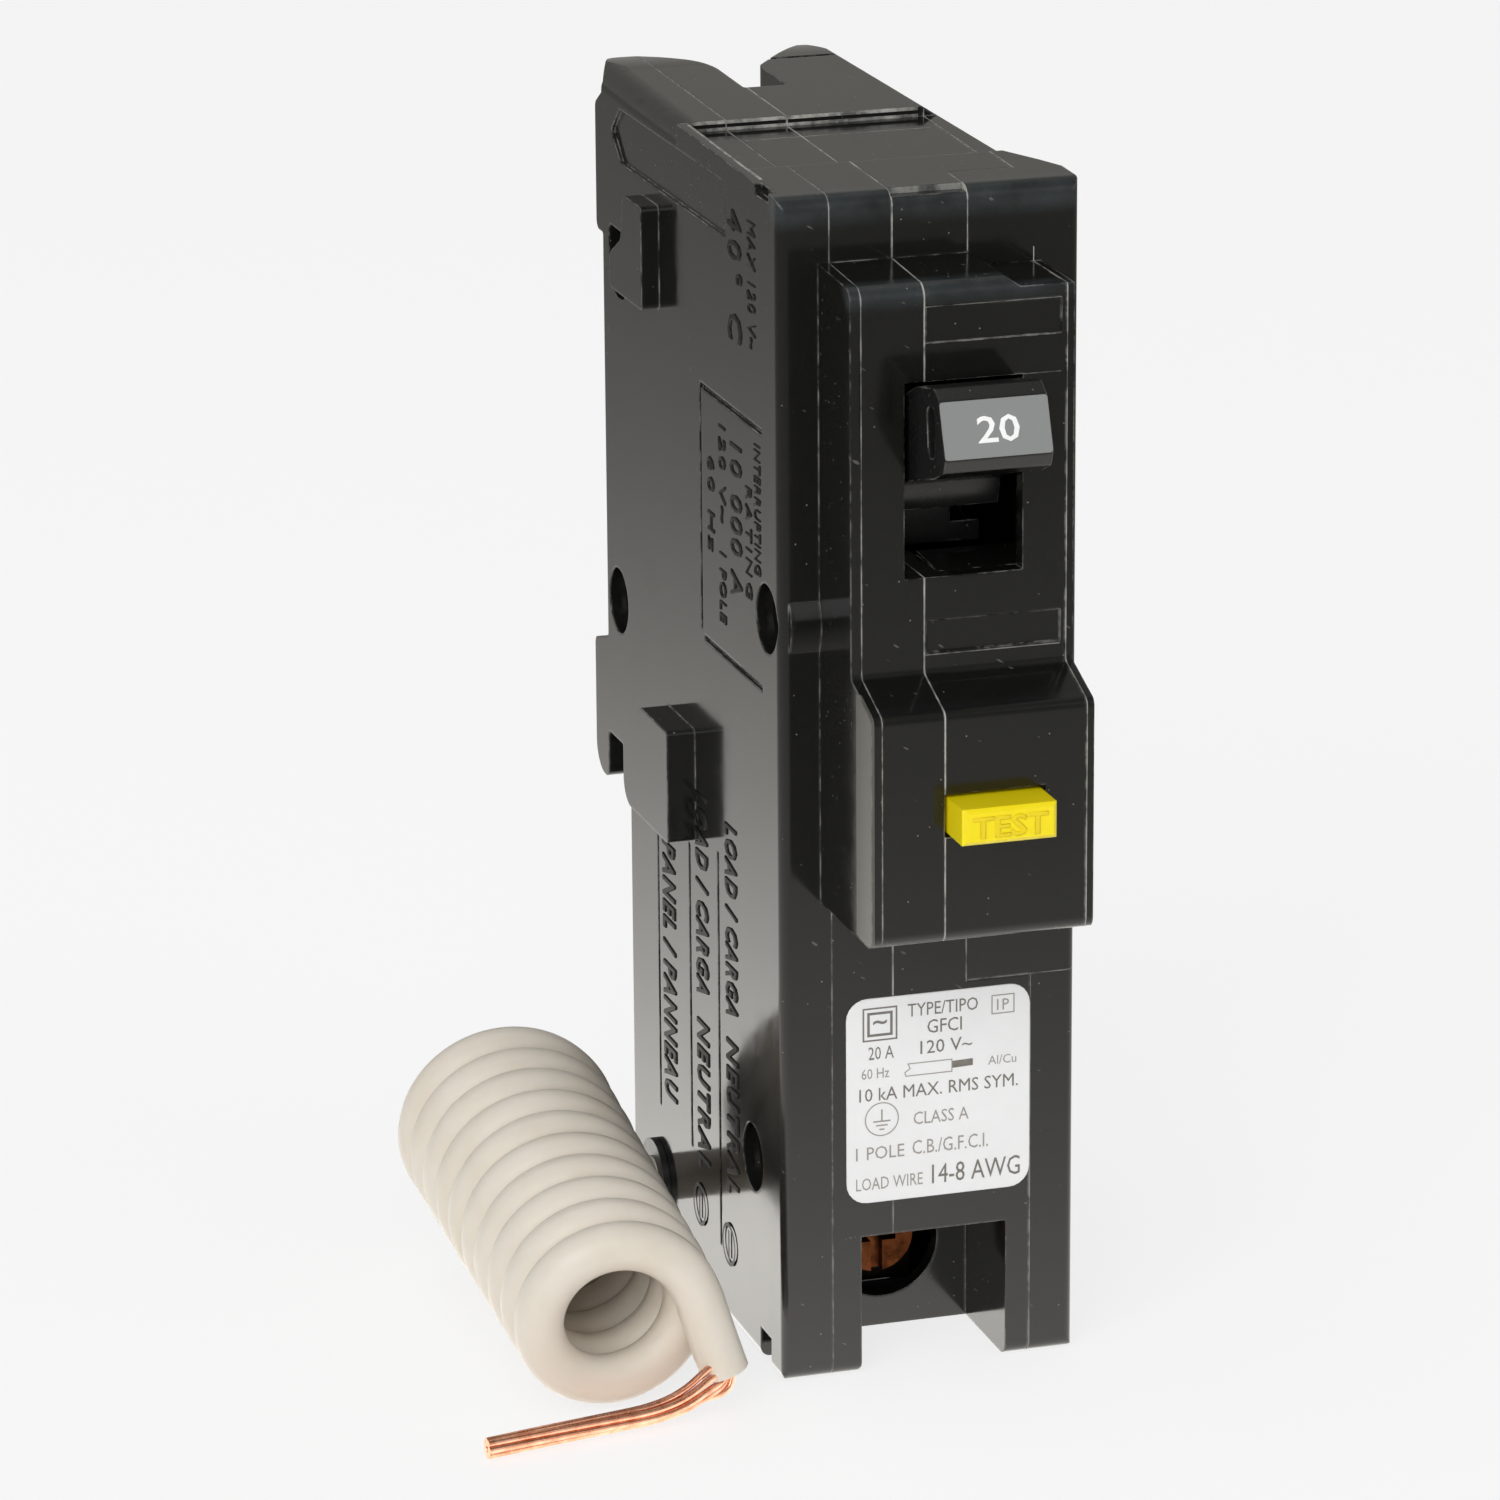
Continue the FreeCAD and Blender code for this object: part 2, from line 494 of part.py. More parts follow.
def right_half():
    """Mechanism case and right cover as one hollow block, before the stepped seam divides it."""
    block = body_block(SEAM_PARTITION, WIDTH).fuse(guide_horns(SEAM_PARTITION, WIDTH)).removeSplitter()
    inner = WIDTH - SKIN
    under_slope = sloped_edge()
    under_slope.translate(V(-0.85, 0, -1.3))
    room = hollow(SEAM_PARTITION + SKIN, inner).cut(under_slope)
    slot_wall_x = STAB_SLOT_RIGHT + SKIN
    low = STAB_SLOT_LOW_Z - SKIN
    keep = [box(0, slot_wall_x, STAB_SLOT_FRONT - SKIN, HORN_REAR, low, HEIGHT),
            box(0, WIDTH, 44.0, HORN_REAR, low, HEIGHT)]
    block = block.cut(room.cut(keep))
    return block.cut([sloped_edge(), raised_step()])


def sloped_edge():
    """Stock taken off the long edge between line end and right side; it runs out at the front."""
    sections = []
    for y, share in ((HORN_REAR + 1, 1.0), (SLOPE_RUNOUT_Y, 1.0), (7.0, 0.55), (3.0, 0.25)):
        across = SLOPE_WIDTH * share
        down = SLOPE_DROP * share
        # Carried one millimetre past the right side and the line end on the same slope.
        corners = [V(WIDTH - across - across / down, y, HEIGHT + 1),
                   V(WIDTH + 1, y, HEIGHT - down - down / across),
                   V(WIDTH + 1, y, HEIGHT + 1)]
        sections.append(Part.makePolygon(corners + corners[:1]))
    stock = Part.makeLoft(sections, True, True)
    if stock.Volume < 0:
        stock.reverse()
    return stock


def raised_step():
    """The raised front's top is lower on its right part."""
    return front_slab([(SEAM_TAB, RAISED_TOP_Z + 1, 0), (SEAM_TAB, RAISED_TOP_Z, 0),
                       (SEAM_TAB + 1.7, RAISED_STEP_Z, 0), (WIDTH + 1, RAISED_STEP_Z, 0),
                       (WIDTH + 1, RAISED_TOP_Z + 1, 0)], -RAISED_OUT - 1, 0)


def seam_tabs():
    """Where the right cover reaches over the mechanism case."""
    top = front_slab([(SEAM_TAB, RAISED_TOP_Z, 0), (SEAM_TAB + 1.7, RAISED_STEP_Z, 0),
                      (SEAM_RIGHT, RAISED_STEP_Z, 0), (SEAM_RIGHT, HEIGHT + 1, 0),
                      (SEAM_TAB, HEIGHT + 1, 0)], -0.01, TAB_DEPTH)
    low = box(SEAM_TAB, SEAM_RIGHT, -0.01, TAB_DEPTH, TEST_LOW_Z - LOW_TAB_HEIGHT, TEST_LOW_Z)
    return top.fuse(low)


def mechanism_case():
    half = right_half()
    shell = half.common(box(SEAM_PARTITION, SEAM_RIGHT, -40, 80, -5, HEIGHT + 5)).cut(seam_tabs())
    posts = rivet_posts(SEAM_PARTITION, SEAM_RIGHT)
    ledge = side_slab([(SKIN - RAISED_OUT - 0.3, WINDOW_LOW_Z - 1.4, 0), (-1.2, WINDOW_LOW_Z - 1.0, 0),
                       (-1.2, WINDOW_LOW_Z + 0.4, 0.3), (SKIN - RAISED_OUT - 0.3, WINDOW_LOW_Z, 0)],
                      SEAM_PARTITION + SKIN, SEAM_RIGHT)
    arm_post = rod_x(ARM_PIVOT_Y, ARM_PIVOT_Z, 2.4, SEAM_PARTITION, ARM_X - 0.3)
    arm_pin = rod_x(ARM_PIVOT_Y, ARM_PIVOT_Z, 1.5, SEAM_PARTITION, ARM_X + ARM_THICK + 0.3)
    cradle_post = rod_x(CRADLE_PIVOT_Y, CRADLE_PIVOT_Z, 2.4, SEAM_PARTITION, CRADLE_X - 0.3)
    cradle_pin = rod_x(CRADLE_PIVOT_Y, CRADLE_PIVOT_Z, 1.5, SEAM_PARTITION, CRADLE_X + CRADLE_THICK + 0.3)
    low = TEST_LOW_Z + SKIN
    spring_rib = box(SEAM_PARTITION + SKIN, SEAM_RIGHT - 0.5, RIB_FRONT, RIB_FRONT + 1.0, low, low + 13.5)
    leaf_post = box(SEAM_PARTITION + SKIN, 17.0, -3.4, -1.9, low, low + 3.5)
    shell = join(shell, *posts, ledge, arm_post, arm_pin, cradle_post, cradle_pin, spring_rib, leaf_post)
    stem_hole = rod_y(BUTTON_LEFT + BUTTON_WIDTH / 2, BUTTON_LOW_Z + BUTTON_HEIGHT / 2, 1.3, -6, -4)
    bar_bore = rod_x(BAR_PIVOT_Y, BAR_PIVOT_Z, BAR_BORE_R + PIVOT_FIT, SEAM_PARTITION - 1,
                     SEAM_PARTITION + SKIN + 0.1)
    stab_slot = plan_slab(STAB_SLOT_PLAN, STAB_SLOT_LOW_Z, HEIGHT + 1)
    shell = shell.cut([stab_slot, leg_slot(), lug_pocket(), handle_pocket(), button_pocket(), stem_hole,
                       bar_bore, jaw_gate(), line_end_relief(), front_relief(),
                       *rivet_bores(SEAM_PARTITION - 1, SEAM_RIGHT + 1)])
    return shell.removeSplitter()


def mechanism_cover():
    half = right_half()
    cover = half.common(box(SEAM_RIGHT, WIDTH + 1, -40, 80, -5, HEIGHT + 5)).cut(right_roundings())
    tabs = half.common(seam_tabs())
    bearing = rod_x(PIVOT_Y, PIVOT_Z, 3.6, SEAM_RIGHT, WIDTH - SKIN + 0.2)
    cover = join(cover, tabs, bearing, *rivet_posts(SEAM_RIGHT, WIDTH - 0.5))
    tools = [rod_x(PIVOT_Y, PIVOT_Z, TRUNNION_R + PIVOT_FIT, SEAM_RIGHT - 1, WIDTH - SKIN + 0.3),
             line_end_relief(), *rivet_bores(SEAM_RIGHT - 1, WIDTH + 1)]
    for y, z in RIVET_PLACES:
        tools.append(rod_x(y, z, RIVET_POCKET_R, WIDTH - RIVET_SINK, WIDTH + 1))
    return cover.cut(tools).removeSplitter()


def case_rivets():
    head = 0.8
    rivets = []
    for y, z in RIVET_PLACES:
        shank = rod_x(y, z, RIVET_SHANK_R, RIVET_SINK - head, WIDTH - RIVET_SINK + head)
        left = rod_x(y, z, RIVET_HEAD_R, RIVET_SINK - head, RIVET_SINK)
        right = rod_x(y, z, RIVET_HEAD_R, WIDTH - RIVET_SINK, WIDTH - RIVET_SINK + head)
        rivet = join(shank, left, right)
        eyelet = rod_x(y, z, RIVET_SHANK_R * 0.6, RIVET_SINK - head - 1, RIVET_SINK + 2)
        rivets.append(rivet.cut(eyelet))
    return Part.makeCompound(rivets)


# ---------------------------------------------------------------- handle and test button
def handle():
    left = WINDOW_LEFT + HANDLE_SIDE_GAP
    right = WINDOW_RIGHT - HANDLE_SIDE_GAP
    y, z = PIVOT_Y, PIVOT_Z
    paddle = side_slab([(y - 6.0, z - 1.6, 0), (y - 4.0, z + 7.0, 0), (y - 10.4, z + 6.6, 1.0),
                        (y - 13.6, z + 8.1, 1.2), (y - 17.8, z + 8.9, 0.7), (y - 19.1, z + 8.1, 0.2),
                        (y - 20.7, z + 3.7, 0.25), (y - 20.2, z + 2.6, 0.2), (y - 17.9, z + 1.6, 0.8),
                        (y - 12.9, z + 0.3, 1.5), (y - 8.6, z - 1.2, 0.5)], left, right)
    drum = rod_x(y, z, DRUM_R, left, right)
    trunnions = rod_x(y, z, TRUNNION_R, WINDOW_LEFT - 0.9, WIDTH - SKIN + 0.1)
    # The drum's lower front is open below the paddle.
    gap = box(left - 1, right + 1, y - DRUM_R - 1, y - 3.0, z - DRUM_R - 1, z - 3.6)
    body = join(paddle, drum.cut(gap), trunnions)
    # Cored from both ends, as the moulding is: an oval through the paddle's end and a drum recess.
    oval = side_slab([(y - 18.2, z + 3.3, 0.7), (y - 16.5, z + 3.0, 0.7), (y - 16.1, z + 7.0, 0.7),
                      (y - 17.8, z + 7.4, 0.7)], left - 1, left + 3.0)
    ring = rod_x(y, z, DRUM_R - 1.5, right - 2.5, right + 1)
    ring = ring.cut(rod_x(y, z, TRUNNION_R + 1.3, right - 3, right + 2))
    return body.cut([oval, ring]).removeSplitter()


def test_button():
    top = BUTTON_LOW_Z + BUTTON_HEIGHT
    right = BUTTON_LEFT + BUTTON_WIDTH
    cap = box(BUTTON_LEFT, right, -BUTTON_OUT, -TEST_OUT + 2.8, BUTTON_LOW_Z, top)
    front_edges = [edge for edge in cap.Edges if edge.BoundBox.YMax < -BUTTON_OUT + 0.01]
    cap = cap.makeChamfer(0.3, front_edges)
    flange = box(BUTTON_LEFT + 0.1, right + 1.1, SKIN - TEST_OUT + 0.3, -TEST_OUT + 2.8,
                 BUTTON_LOW_Z - BUTTON_FLANGE, top + BUTTON_FLANGE)
    stem = rod_y(BUTTON_LEFT + BUTTON_WIDTH / 2, BUTTON_LOW_Z + BUTTON_HEIGHT / 2, 1.15,
                 -TEST_OUT + 2.8, -3.9)
    return join(cap, flange, stem)


def coil_spring(start, direction, length, radius, wire, turns):
    """Coil spring with a four-sided wire in straight steps; start is the middle of one end."""
    steps = 10
    half = wire * 0.44
    rings = []
    for i in range(turns * steps + 1):
        angle = 2 * math.pi * i / steps
        rise = wire / 2 + (length - wire) * i / (turns * steps)
        across = ((radius + half, rise), (radius, rise + half), (radius - half, rise), (radius, rise - half))
        rings.append([V(r * math.cos(angle), r * math.sin(angle), z) for r, z in across])
    faces = []

    def face(*corners):
        faces.append(Part.Face(Part.makePolygon(list(corners) + [corners[0]])))
    for ring, following in zip(rings, rings[1:]):
        for k in range(4):
            n = (k + 1) % 4
            face(ring[k], following[k], following[n])
            face(ring[k], following[n], ring[n])
    face(*rings[0])
    face(*rings[-1])
    spring = Part.Solid(Part.Shell(faces))
    if spring.Volume < 0:
        spring.reverse()
    spring.Placement = FreeCAD.Placement(start, FreeCAD.Rotation(V(0, 0, 1), direction))
    return spring


def test_spring():
    x = BUTTON_LEFT + BUTTON_WIDTH / 2
    z = BUTTON_LOW_Z + BUTTON_HEIGHT / 2
    front = -TEST_OUT + 2.8 + BUTTON_TRAVEL + 0.1
    return coil_spring(V(x, front, z), V(0, 1, 0), RIB_FRONT - front, 1.75, 0.4, 3)


def test_contact():
    x = BUTTON_LEFT + BUTTON_WIDTH / 2
    low = TEST_LOW_Z + SKIN + 0.6
    return side_slab([(-1.9, low, 0), (-1.4, low, 0), (-1.4, low + 6.3, 0.3), (-1.0, low + 9.9, 0.2),
                      (-1.5, low + 9.9, 0), (-1.9, low + 6.3, 0.3)], x - 2.0, x + 2.0)


# ---------------------------------------------------------------- switching mechanism
def line_jaw():
    """Clip that grips the panel's stab, with the strap that carries the fixed contact."""
    metal = JAW_METAL
    leaf_left = STAB_SLOT_LEFT + 0.35
    leaf_right = STAB_SLOT_RIGHT - 0.2
    low, high = JAW_LOW_Z, JAW_HIGH_Z
    base_front = 36.0
    tip = 47.5
    leaves = []
    for x, inner in ((leaf_left, metal), (leaf_right - metal, 0)):
        # The inner corner of each tip is bevelled to let the stab in.
        bevel = 0.25 if inner else -0.25
        corners = [(x + metal - inner, base_front, 0), (x + inner, base_front, 0), (x + inner, tip - 1.6, 0),
                   (x + inner - bevel, tip, 0), (x + metal - inner, tip, 0)]
        leaf = plan_slab(corners, low, high)
        nick = side_slab([(tip - 7.5, (low + high) / 2 - 0.5, 0), (tip + 1, (low + high) / 2 - 0.5, 0),
                          (tip + 1, (low + high) / 2 + 0.5, 0), (tip - 7.5, (low + high) / 2 + 0.5, 0)],
                         x - 1, x + metal + 1)
        leaves.append(leaf.cut(nick))
    right = SEAM_RIGHT - 1.4
    top = CONTACT_Z + 5.0
    base = box(leaf_left, right, base_front, base_front + metal * 1.5, low, high)
    strap = box(right - 1.4, right, FIXED_PAD_Y, base_front + 1, JAW_LOW_Z, top)
    pad = box(CHUTE_LEFT - 0.3, right, FIXED_PAD_Y, FIXED_PAD_Y + 1.4, JAW_LOW_Z, top)
    return join(base, *leaves, strap, pad)


def fixed_contact():
    return rod_y(ARM_X + ARM_THICK / 2, CONTACT_Z, 2.2, FIXED_PAD_Y - 1.0, FIXED_PAD_Y)


ARM_TIP_Y = FIXED_PAD_Y - 1.0 - CONTACT_GAP - 1.0


def moving_contact():
    return rod_y(ARM_X + ARM_THICK / 2, CONTACT_Z, 2.0, ARM_TIP_Y, ARM_TIP_Y + 1.0)


def contact_arm():
    """Stamped arm: round eye at the pivot, dog-leg to a broad tip that backs the contact."""
    y, z = ARM_PIVOT_Y, ARM_PIVOT_Z
    blade = side_slab([(y - 2.6, z - 2.8, 2.0), (y + 3.0, z - 3.0, 2.0), (y + 6.5, z + 6.5, 4.0),
                       (ARM_TIP_Y - 1.6, CONTACT_Z - 4.5, 1.5), (ARM_TIP_Y, CONTACT_Z - 3.2, 0.4),
                       (ARM_TIP_Y, CONTACT_Z + 3.0, 0.8), (ARM_TIP_Y - 3.0, CONTACT_Z + 3.0, 1.2),
                       (y + 2.6, z + 9.5, 5.0), (y - 2.6, z + 3.0, 2.5)], ARM_X, ARM_X + ARM_THICK)
    eye = rod_x(y, z, 1.5 + PIVOT_FIT, ARM_X - 1, ARM_X + ARM_THICK + 1)
    spring_pin = rod_x(y + 7.0, z + 9.0, 0.8, ARM_X + ARM_THICK, TOGGLE_X + 0.3)
    return join(blade.cut(eye), spring_pin)


def cradle():
    """Trip lever: pivots at the front, latches on the armature at the rear."""
    y, z = CRADLE_PIVOT_Y, CRADLE_PIVOT_Z
    latch = ARMATURE_Y - 1.0
    blade = side_slab([(y - 3.0, z - 3.0, 2.5), (y + 6.0, z - 3.2, 2.0), (latch - 4.0, z - 5.3, 2.0),
                       (latch, z - 5.3, 0.2), (latch, z - 3.1, 0.2), (latch - 5.0, z - 1.7, 2.0),
                       (y + 12.0, z + 3.0, 3.0), (y - 3.0, z + 3.0, 2.5)], CRADLE_X, CRADLE_X + CRADLE_THICK)
    eye = rod_x(y, z, 1.5 + PIVOT_FIT, CRADLE_X - 1, CRADLE_X + CRADLE_THICK + 1)
    window = side_slab([(y + 4.8, z - 1.0, 0.8), (y + 11.0, z - 1.6, 0.8), (y + 10.0, z + 1.0, 0.8),
                        (y + 5.0, z + 1.4, 0.8)], CRADLE_X - 1, CRADLE_X + CRADLE_THICK + 1)
    return blade.cut([eye, window])


def toggle_spring():
    """Over-centre spring from the arm's pin down to the level of the cradle."""
    x = TOGGLE_X
    top = V(x, ARM_PIVOT_Y + 7.0, ARM_PIVOT_Z + 8.1)
    end = V(x, CRADLE_PIVOT_Y + 11.5, CRADLE_PIVOT_Z + 3.6)
    down = end - top
    length = down.Length
    down.normalize()
    return coil_spring(top, down, length, 1.0, 0.5, 11)


def arc_chute():
    """Fibre cheeks that hold the splitter plates at their ends."""
    low = HEIGHT - 7.2
    left = box(CHUTE_LEFT - CHEEK, CHUTE_LEFT, CHUTE_FRONT, 27.4, low, CHUTE_TOP)
    right = box(CHUTE_RIGHT, CHUTE_RIGHT + CHEEK, CHUTE_FRONT, 27.4, low, CHUTE_TOP)
    return Part.makeCompound([left, right])


ARC_PLATES = 7
CHEEK = 0.8
CHUTE_LEFT = SEAM_PARTITION + SKIN + 0.25 + CHEEK
CHUTE_RIGHT = SEAM_RIGHT - 1.1
CHUTE_FRONT = 11.0
CHUTE_TOP = line_end(CHUTE_FRONT) - LINE_END_WALL - 0.2


def arc_plates():
    plates = []
    for i in range(ARC_PLATES):
        y = 12.0 + i * 2.2
        low = HEIGHT - 7.8
        middle = ARM_X + ARM_THICK / 2
        plate = box(CHUTE_LEFT, CHUTE_RIGHT, y, y + 0.9, low, CHUTE_TOP - 0.2)
        notch = front_slab([(middle - 2.7, low - 0.6, 0), (middle + 2.7, low - 0.6, 0),
                            (middle + 0.9, low + 3.0, 0.5), (middle - 0.9, low + 3.0, 0.5)], y - 1, y + 2)
        plates.append(plate.cut(notch))
    return Part.makeCompound(plates)


def bimetal():
    """Heater strip, standing on the load strap."""
    top = ARMATURE_PIVOT_Z + 1.5
    strip = side_slab([(BIMETAL_Y, 22.0, 0.3), (BIMETAL_Y + 1.2, 22.0, 0.3), (BIMETAL_Y + 1.2, top, 0.5),
                       (BIMETAL_Y, top, 0.5)], BIMETAL_LEFT, SEAM_RIGHT - 2.2)
    hook = box(BIMETAL_LEFT + 1.8, BIMETAL_LEFT + 4.2, BIMETAL_Y - 2.2, BIMETAL_Y, top - 1.6, top - 0.6)
    return join(strip, hook)


def magnet_yoke():
    """U-shaped core round the bimetal."""
    left, right = BIMETAL_LEFT - 1.3, SEAM_RIGHT - 0.9
    low, high = ARMATURE_PIVOT_Z - 16.5, ARMATURE_PIVOT_Z - 5.5
    back = box(left, right, BIMETAL_Y + 1.5, BIMETAL_Y + 2.9, low, high)
    sides = [box(x, x + 1.0, BIMETAL_Y - 1.4, BIMETAL_Y + 2.9, low, high) for x in (left, right - 1.0)]
    return join(back, *sides)


ARMATURE_PIVOT_Y = ARMATURE_Y + 1.7
ARMATURE_PIN_R = 0.8


def armature():
    """Latch plate: hangs from its pin in front of the yoke."""
    y, z = ARMATURE_Y, ARMATURE_PIVOT_Z
    left, right = BIMETAL_LEFT - 0.8, SEAM_RIGHT - 0.2
    plate = box(left, right, y, y + 1.2, z - 14.5, z + 1.0)
    waist = [box(x, x + 1.4, y - 1, y + 2, z - 6.0, z - 2.5) for x in (left, right - 1.4)]
    barrel = rod_x(ARMATURE_PIVOT_Y, z, 1.5, left, right)
    bore = rod_x(ARMATURE_PIVOT_Y, z, ARMATURE_PIN_R + PIVOT_FIT, left - 1, right + 1)
    return join(plate, barrel).cut([bore, *waist])


def armature_pin():
    return rod_x(ARMATURE_PIVOT_Y, ARMATURE_PIVOT_Z, ARMATURE_PIN_R, SEAM_PARTITION + SKIN, WIDTH - SKIN)


def load_strap():
    """From the foot of the bimetal to the load lug."""
    lug_rear = LUG_FRONT + LUG_DEPTH
    return side_slab([(lug_rear, 5.0, 0), (lug_rear + 1.2, 5.0, 0), (lug_rear + 1.2, 10.8, 0.4),
                      (BIMETAL_Y + 2.4, 20.2, 1.5), (BIMETAL_Y + 2.4, 30.0, 0), (BIMETAL_Y + 1.2, 30.0, 0),
                      (BIMETAL_Y + 1.2, 21.2, 1.0), (lug_rear, 12.0, 1.2)], 13.4, 15.4)


def braid():
    """Flexible copper lead from the bimetal to the contact arm, clear of the arm's sweep."""
    x = SEAM_PARTITION + SKIN + 1.57
    low, high = ARMATURE_PIVOT_Z - 21.0, ARM_PIVOT_Z + 2.8
    points = [V(x, BIMETAL_Y - 0.7, low), V(x, 29.0, low + 1.0), V(x, 23.4, low + 9.0),
              V(x, 23.0, high - 17.8), V(x, 20.6, high - 7.8), V(x, 20.9, high)]
    return bent_tube(points, 0.8)


# ---------------------------------------------------------------- terminals
def load_lug():
    left = TERMINAL_X - LUG_WIDTH / 2
    rear = LUG_FRONT + LUG_DEPTH
    body = side_slab([(LUG_FRONT, LUG_LOW_Z, 0.6), (rear, LUG_LOW_Z, 0.6),
                      (rear, LUG_LOW_Z + LUG_HEIGHT, 0.6), (LUG_FRONT, LUG_LOW_Z + LUG_HEIGHT, 0.6)],
                     left, left + LUG_WIDTH)
    bore = rod_z(TERMINAL_X, LUG_FRONT + LUG_DEPTH / 2, WIRE_BORE_R, LUG_LOW_Z - 1,
                 LUG_LOW_Z + LUG_HEIGHT + 1)
    thread = rod_y(TERMINAL_X, TERMINAL_Z, SCREW_R + PIVOT_FIT, LUG_FRONT - 1, LUG_FRONT + LUG_DEPTH / 2)
    return body.cut([bore, thread])


def load_screw():
    head = rod_y(TERMINAL_X, TERMINAL_Z, SCREW_HEAD_R, LUG_FRONT - 0.3 - SCREW_HEAD, LUG_FRONT - 0.3)
    shank = rod_y(TERMINAL_X, TERMINAL_Z, SCREW_R, LUG_FRONT - 0.4, LUG_FRONT + 0.8)
    slot = box(TERMINAL_X - 0.5, TERMINAL_X + 0.5, LUG_FRONT - 3, LUG_FRONT - 0.3 - SCREW_HEAD + 0.9,
               TERMINAL_Z - 4, TERMINAL_Z + 4)
    cross = box(TERMINAL_X - 1.7, TERMINAL_X + 1.7, LUG_FRONT - 3, LUG_FRONT - 0.3 - SCREW_HEAD + 0.9,
                TERMINAL_Z - 0.5, TERMINAL_Z + 0.5)
    return join(head, shank).cut([slot, cross])


NEUTRAL_FRONT = LUG_POCKET_REAR + SKIN + 0.2     # just behind the lug's wall


def neutral_terminal():
    plate = box(NEUTRAL_X - 2.9, NEUTRAL_X + 2.9, NEUTRAL_FRONT, NEUTRAL_Y + 3.2,
                NEUTRAL_PLATE_Z, NEUTRAL_PLATE_Z + 1.6)
    tail = box(NEUTRAL_X - 2.9, NEUTRAL_X - 1.9, NEUTRAL_Y + 2.2, NEUTRAL_Y + 3.2,
               NEUTRAL_PLATE_Z, BOARD_LOW_Z)
    ears = [box(NEUTRAL_X + 1.9, NEUTRAL_X + 2.9, NEUTRAL_FRONT, NEUTRAL_Y + 3.2, WALL + 0.02,
                NEUTRAL_PLATE_Z)]
    thread = rod_z(NEUTRAL_X - 0.3, NEUTRAL_Y, NEUTRAL_SCREW_R + PIVOT_FIT, 0, 12)
    return join(plate, tail, *ears).cut(thread)


def neutral_screw():
    x = NEUTRAL_X - 0.3
    head = rod_z(x, NEUTRAL_Y, NEUTRAL_HEAD_R - 0.4, NEUTRAL_PLATE_Z - 0.3 - 1.5, NEUTRAL_PLATE_Z - 0.3)
    shank = rod_z(x, NEUTRAL_Y, NEUTRAL_SCREW_R, NEUTRAL_PLATE_Z - 0.4, NEUTRAL_PLATE_Z + 3.4)
    slot = box(x - 0.4, x + 0.4, NEUTRAL_Y - 4, NEUTRAL_Y + 4, 0, NEUTRAL_PLATE_Z - 1.1)
    return join(head, shank).cut(slot)


# ---------------------------------------------------------------- ground-fault electronics
BOARD_FACE = BOARD_X + BOARD_THICK


def circuit_board():
    low, high = BOARD_LOW_Z, BOARD_HIGH_Z
    return side_slab([(13.5, low, 0.8), (40.6, low, 0.8), (40.6, 47.0, 0.8), (46.4, 47.0, 0.8),
                      (46.4, 49.6, 0), (41.6, 51.6, 0), (41.6, 58.6, 0), (46.4, 60.6, 0),
                      (46.4, high, 0.8), (16.5, high, 0.8), (16.5, high - 12.0, 0.8),
                      (9.6, high - 16.0, 0.8), (9.6, low + 7.0, 0.8), (13.5, low + 5.4, 0.8)],
                     BOARD_X, BOARD_FACE)


def board_parts():
    """Controller chip, capacitors, rectifier diodes and resistors, seated on the board."""
    top = BOARD_HIGH_Z
    parts = [box(BOARD_FACE, BOARD_FACE + 1.8, 30.0, 36.2, top - 24.0, top - 14.2)]
    for y, drop, radius, height in ((38.2, 5.6, 3.0, 4.6), (30.6, 5.2, 2.4, 4.2), (24.0, 4.4, 2.0, 4.0)):
        parts.append(rod_x(y, top - drop, radius, BOARD_FACE, BOARD_FACE + height))
    for i in range(4):
        y = 13.0 + i * 3.4
        parts.append(box(BOARD_FACE, BOARD_FACE + 1.2, y, y + 1.8, top - 18.8, top - 15.2))
    low = BOARD_LOW_Z + 2.6
    row = int((TOROID_Z - NEUTRAL_RING_R - low) / 3.0)
    for i in range(row):
        z = low + i * 3.0
        parts.append(box(BOARD_FACE, BOARD_FACE + 0.6, 37.8, 40.2, z, z + 1.4))
    return Part.makeCompound(parts)


SOLENOID_Z = BAR_PIVOT_Z - 14.1
TOROID_Z = SOLENOID_Z - 11.6
FAULT_RING_R = 6.6
NEUTRAL_RING_R = 5.6


def toroid(y, outer, inner):
    thick = 4.4
    ring = rod_x(y, TOROID_Z, outer, BOARD_FACE, BOARD_FACE + thick)
    rims = [edge for edge in ring.Edges if abs(edge.Length - 2 * math.pi * outer) < 0.01]
    ring = ring.makeChamfer(0.7, rims)
    return ring.cut(rod_x(y, TOROID_Z, inner, BOARD_FACE - 1, BOARD_FACE + thick + 1))


def fault_sensor():
    return toroid(20.2, FAULT_RING_R, 3.0)


def neutral_sensor():
    return toroid(33.8, NEUTRAL_RING_R, 2.6)


def varistor():
    room = TOROID_Z - FAULT_RING_R - BOARD_LOW_Z
    return rod_x(20.4, BOARD_LOW_Z + 0.54 * room, 0.27 * room, BOARD_FACE, BOARD_FACE + 2.6)


SOLENOID_X = BOARD_FACE + 2.5
SOLENOID_FRONT = 10.2
SOLENOID_REAR = 22.4
PLUNGER_R = 1.1


def solenoid_coil():
    """Winding on its bobbin, lying front to rear."""
    ends = (SOLENOID_FRONT + 0.02, SOLENOID_REAR - 0.82)
    flanges = [rod_y(SOLENOID_X, SOLENOID_Z, 2.45, y, y + 0.8) for y in ends]
    winding = rod_y(SOLENOID_X, SOLENOID_Z, 2.1, ends[0], SOLENOID_REAR - 0.02)
    bore = rod_y(SOLENOID_X, SOLENOID_Z, PLUNGER_R + PIVOT_FIT, SOLENOID_FRONT - 1, SOLENOID_REAR + 1)
    return join(winding, *flanges).cut(bore)


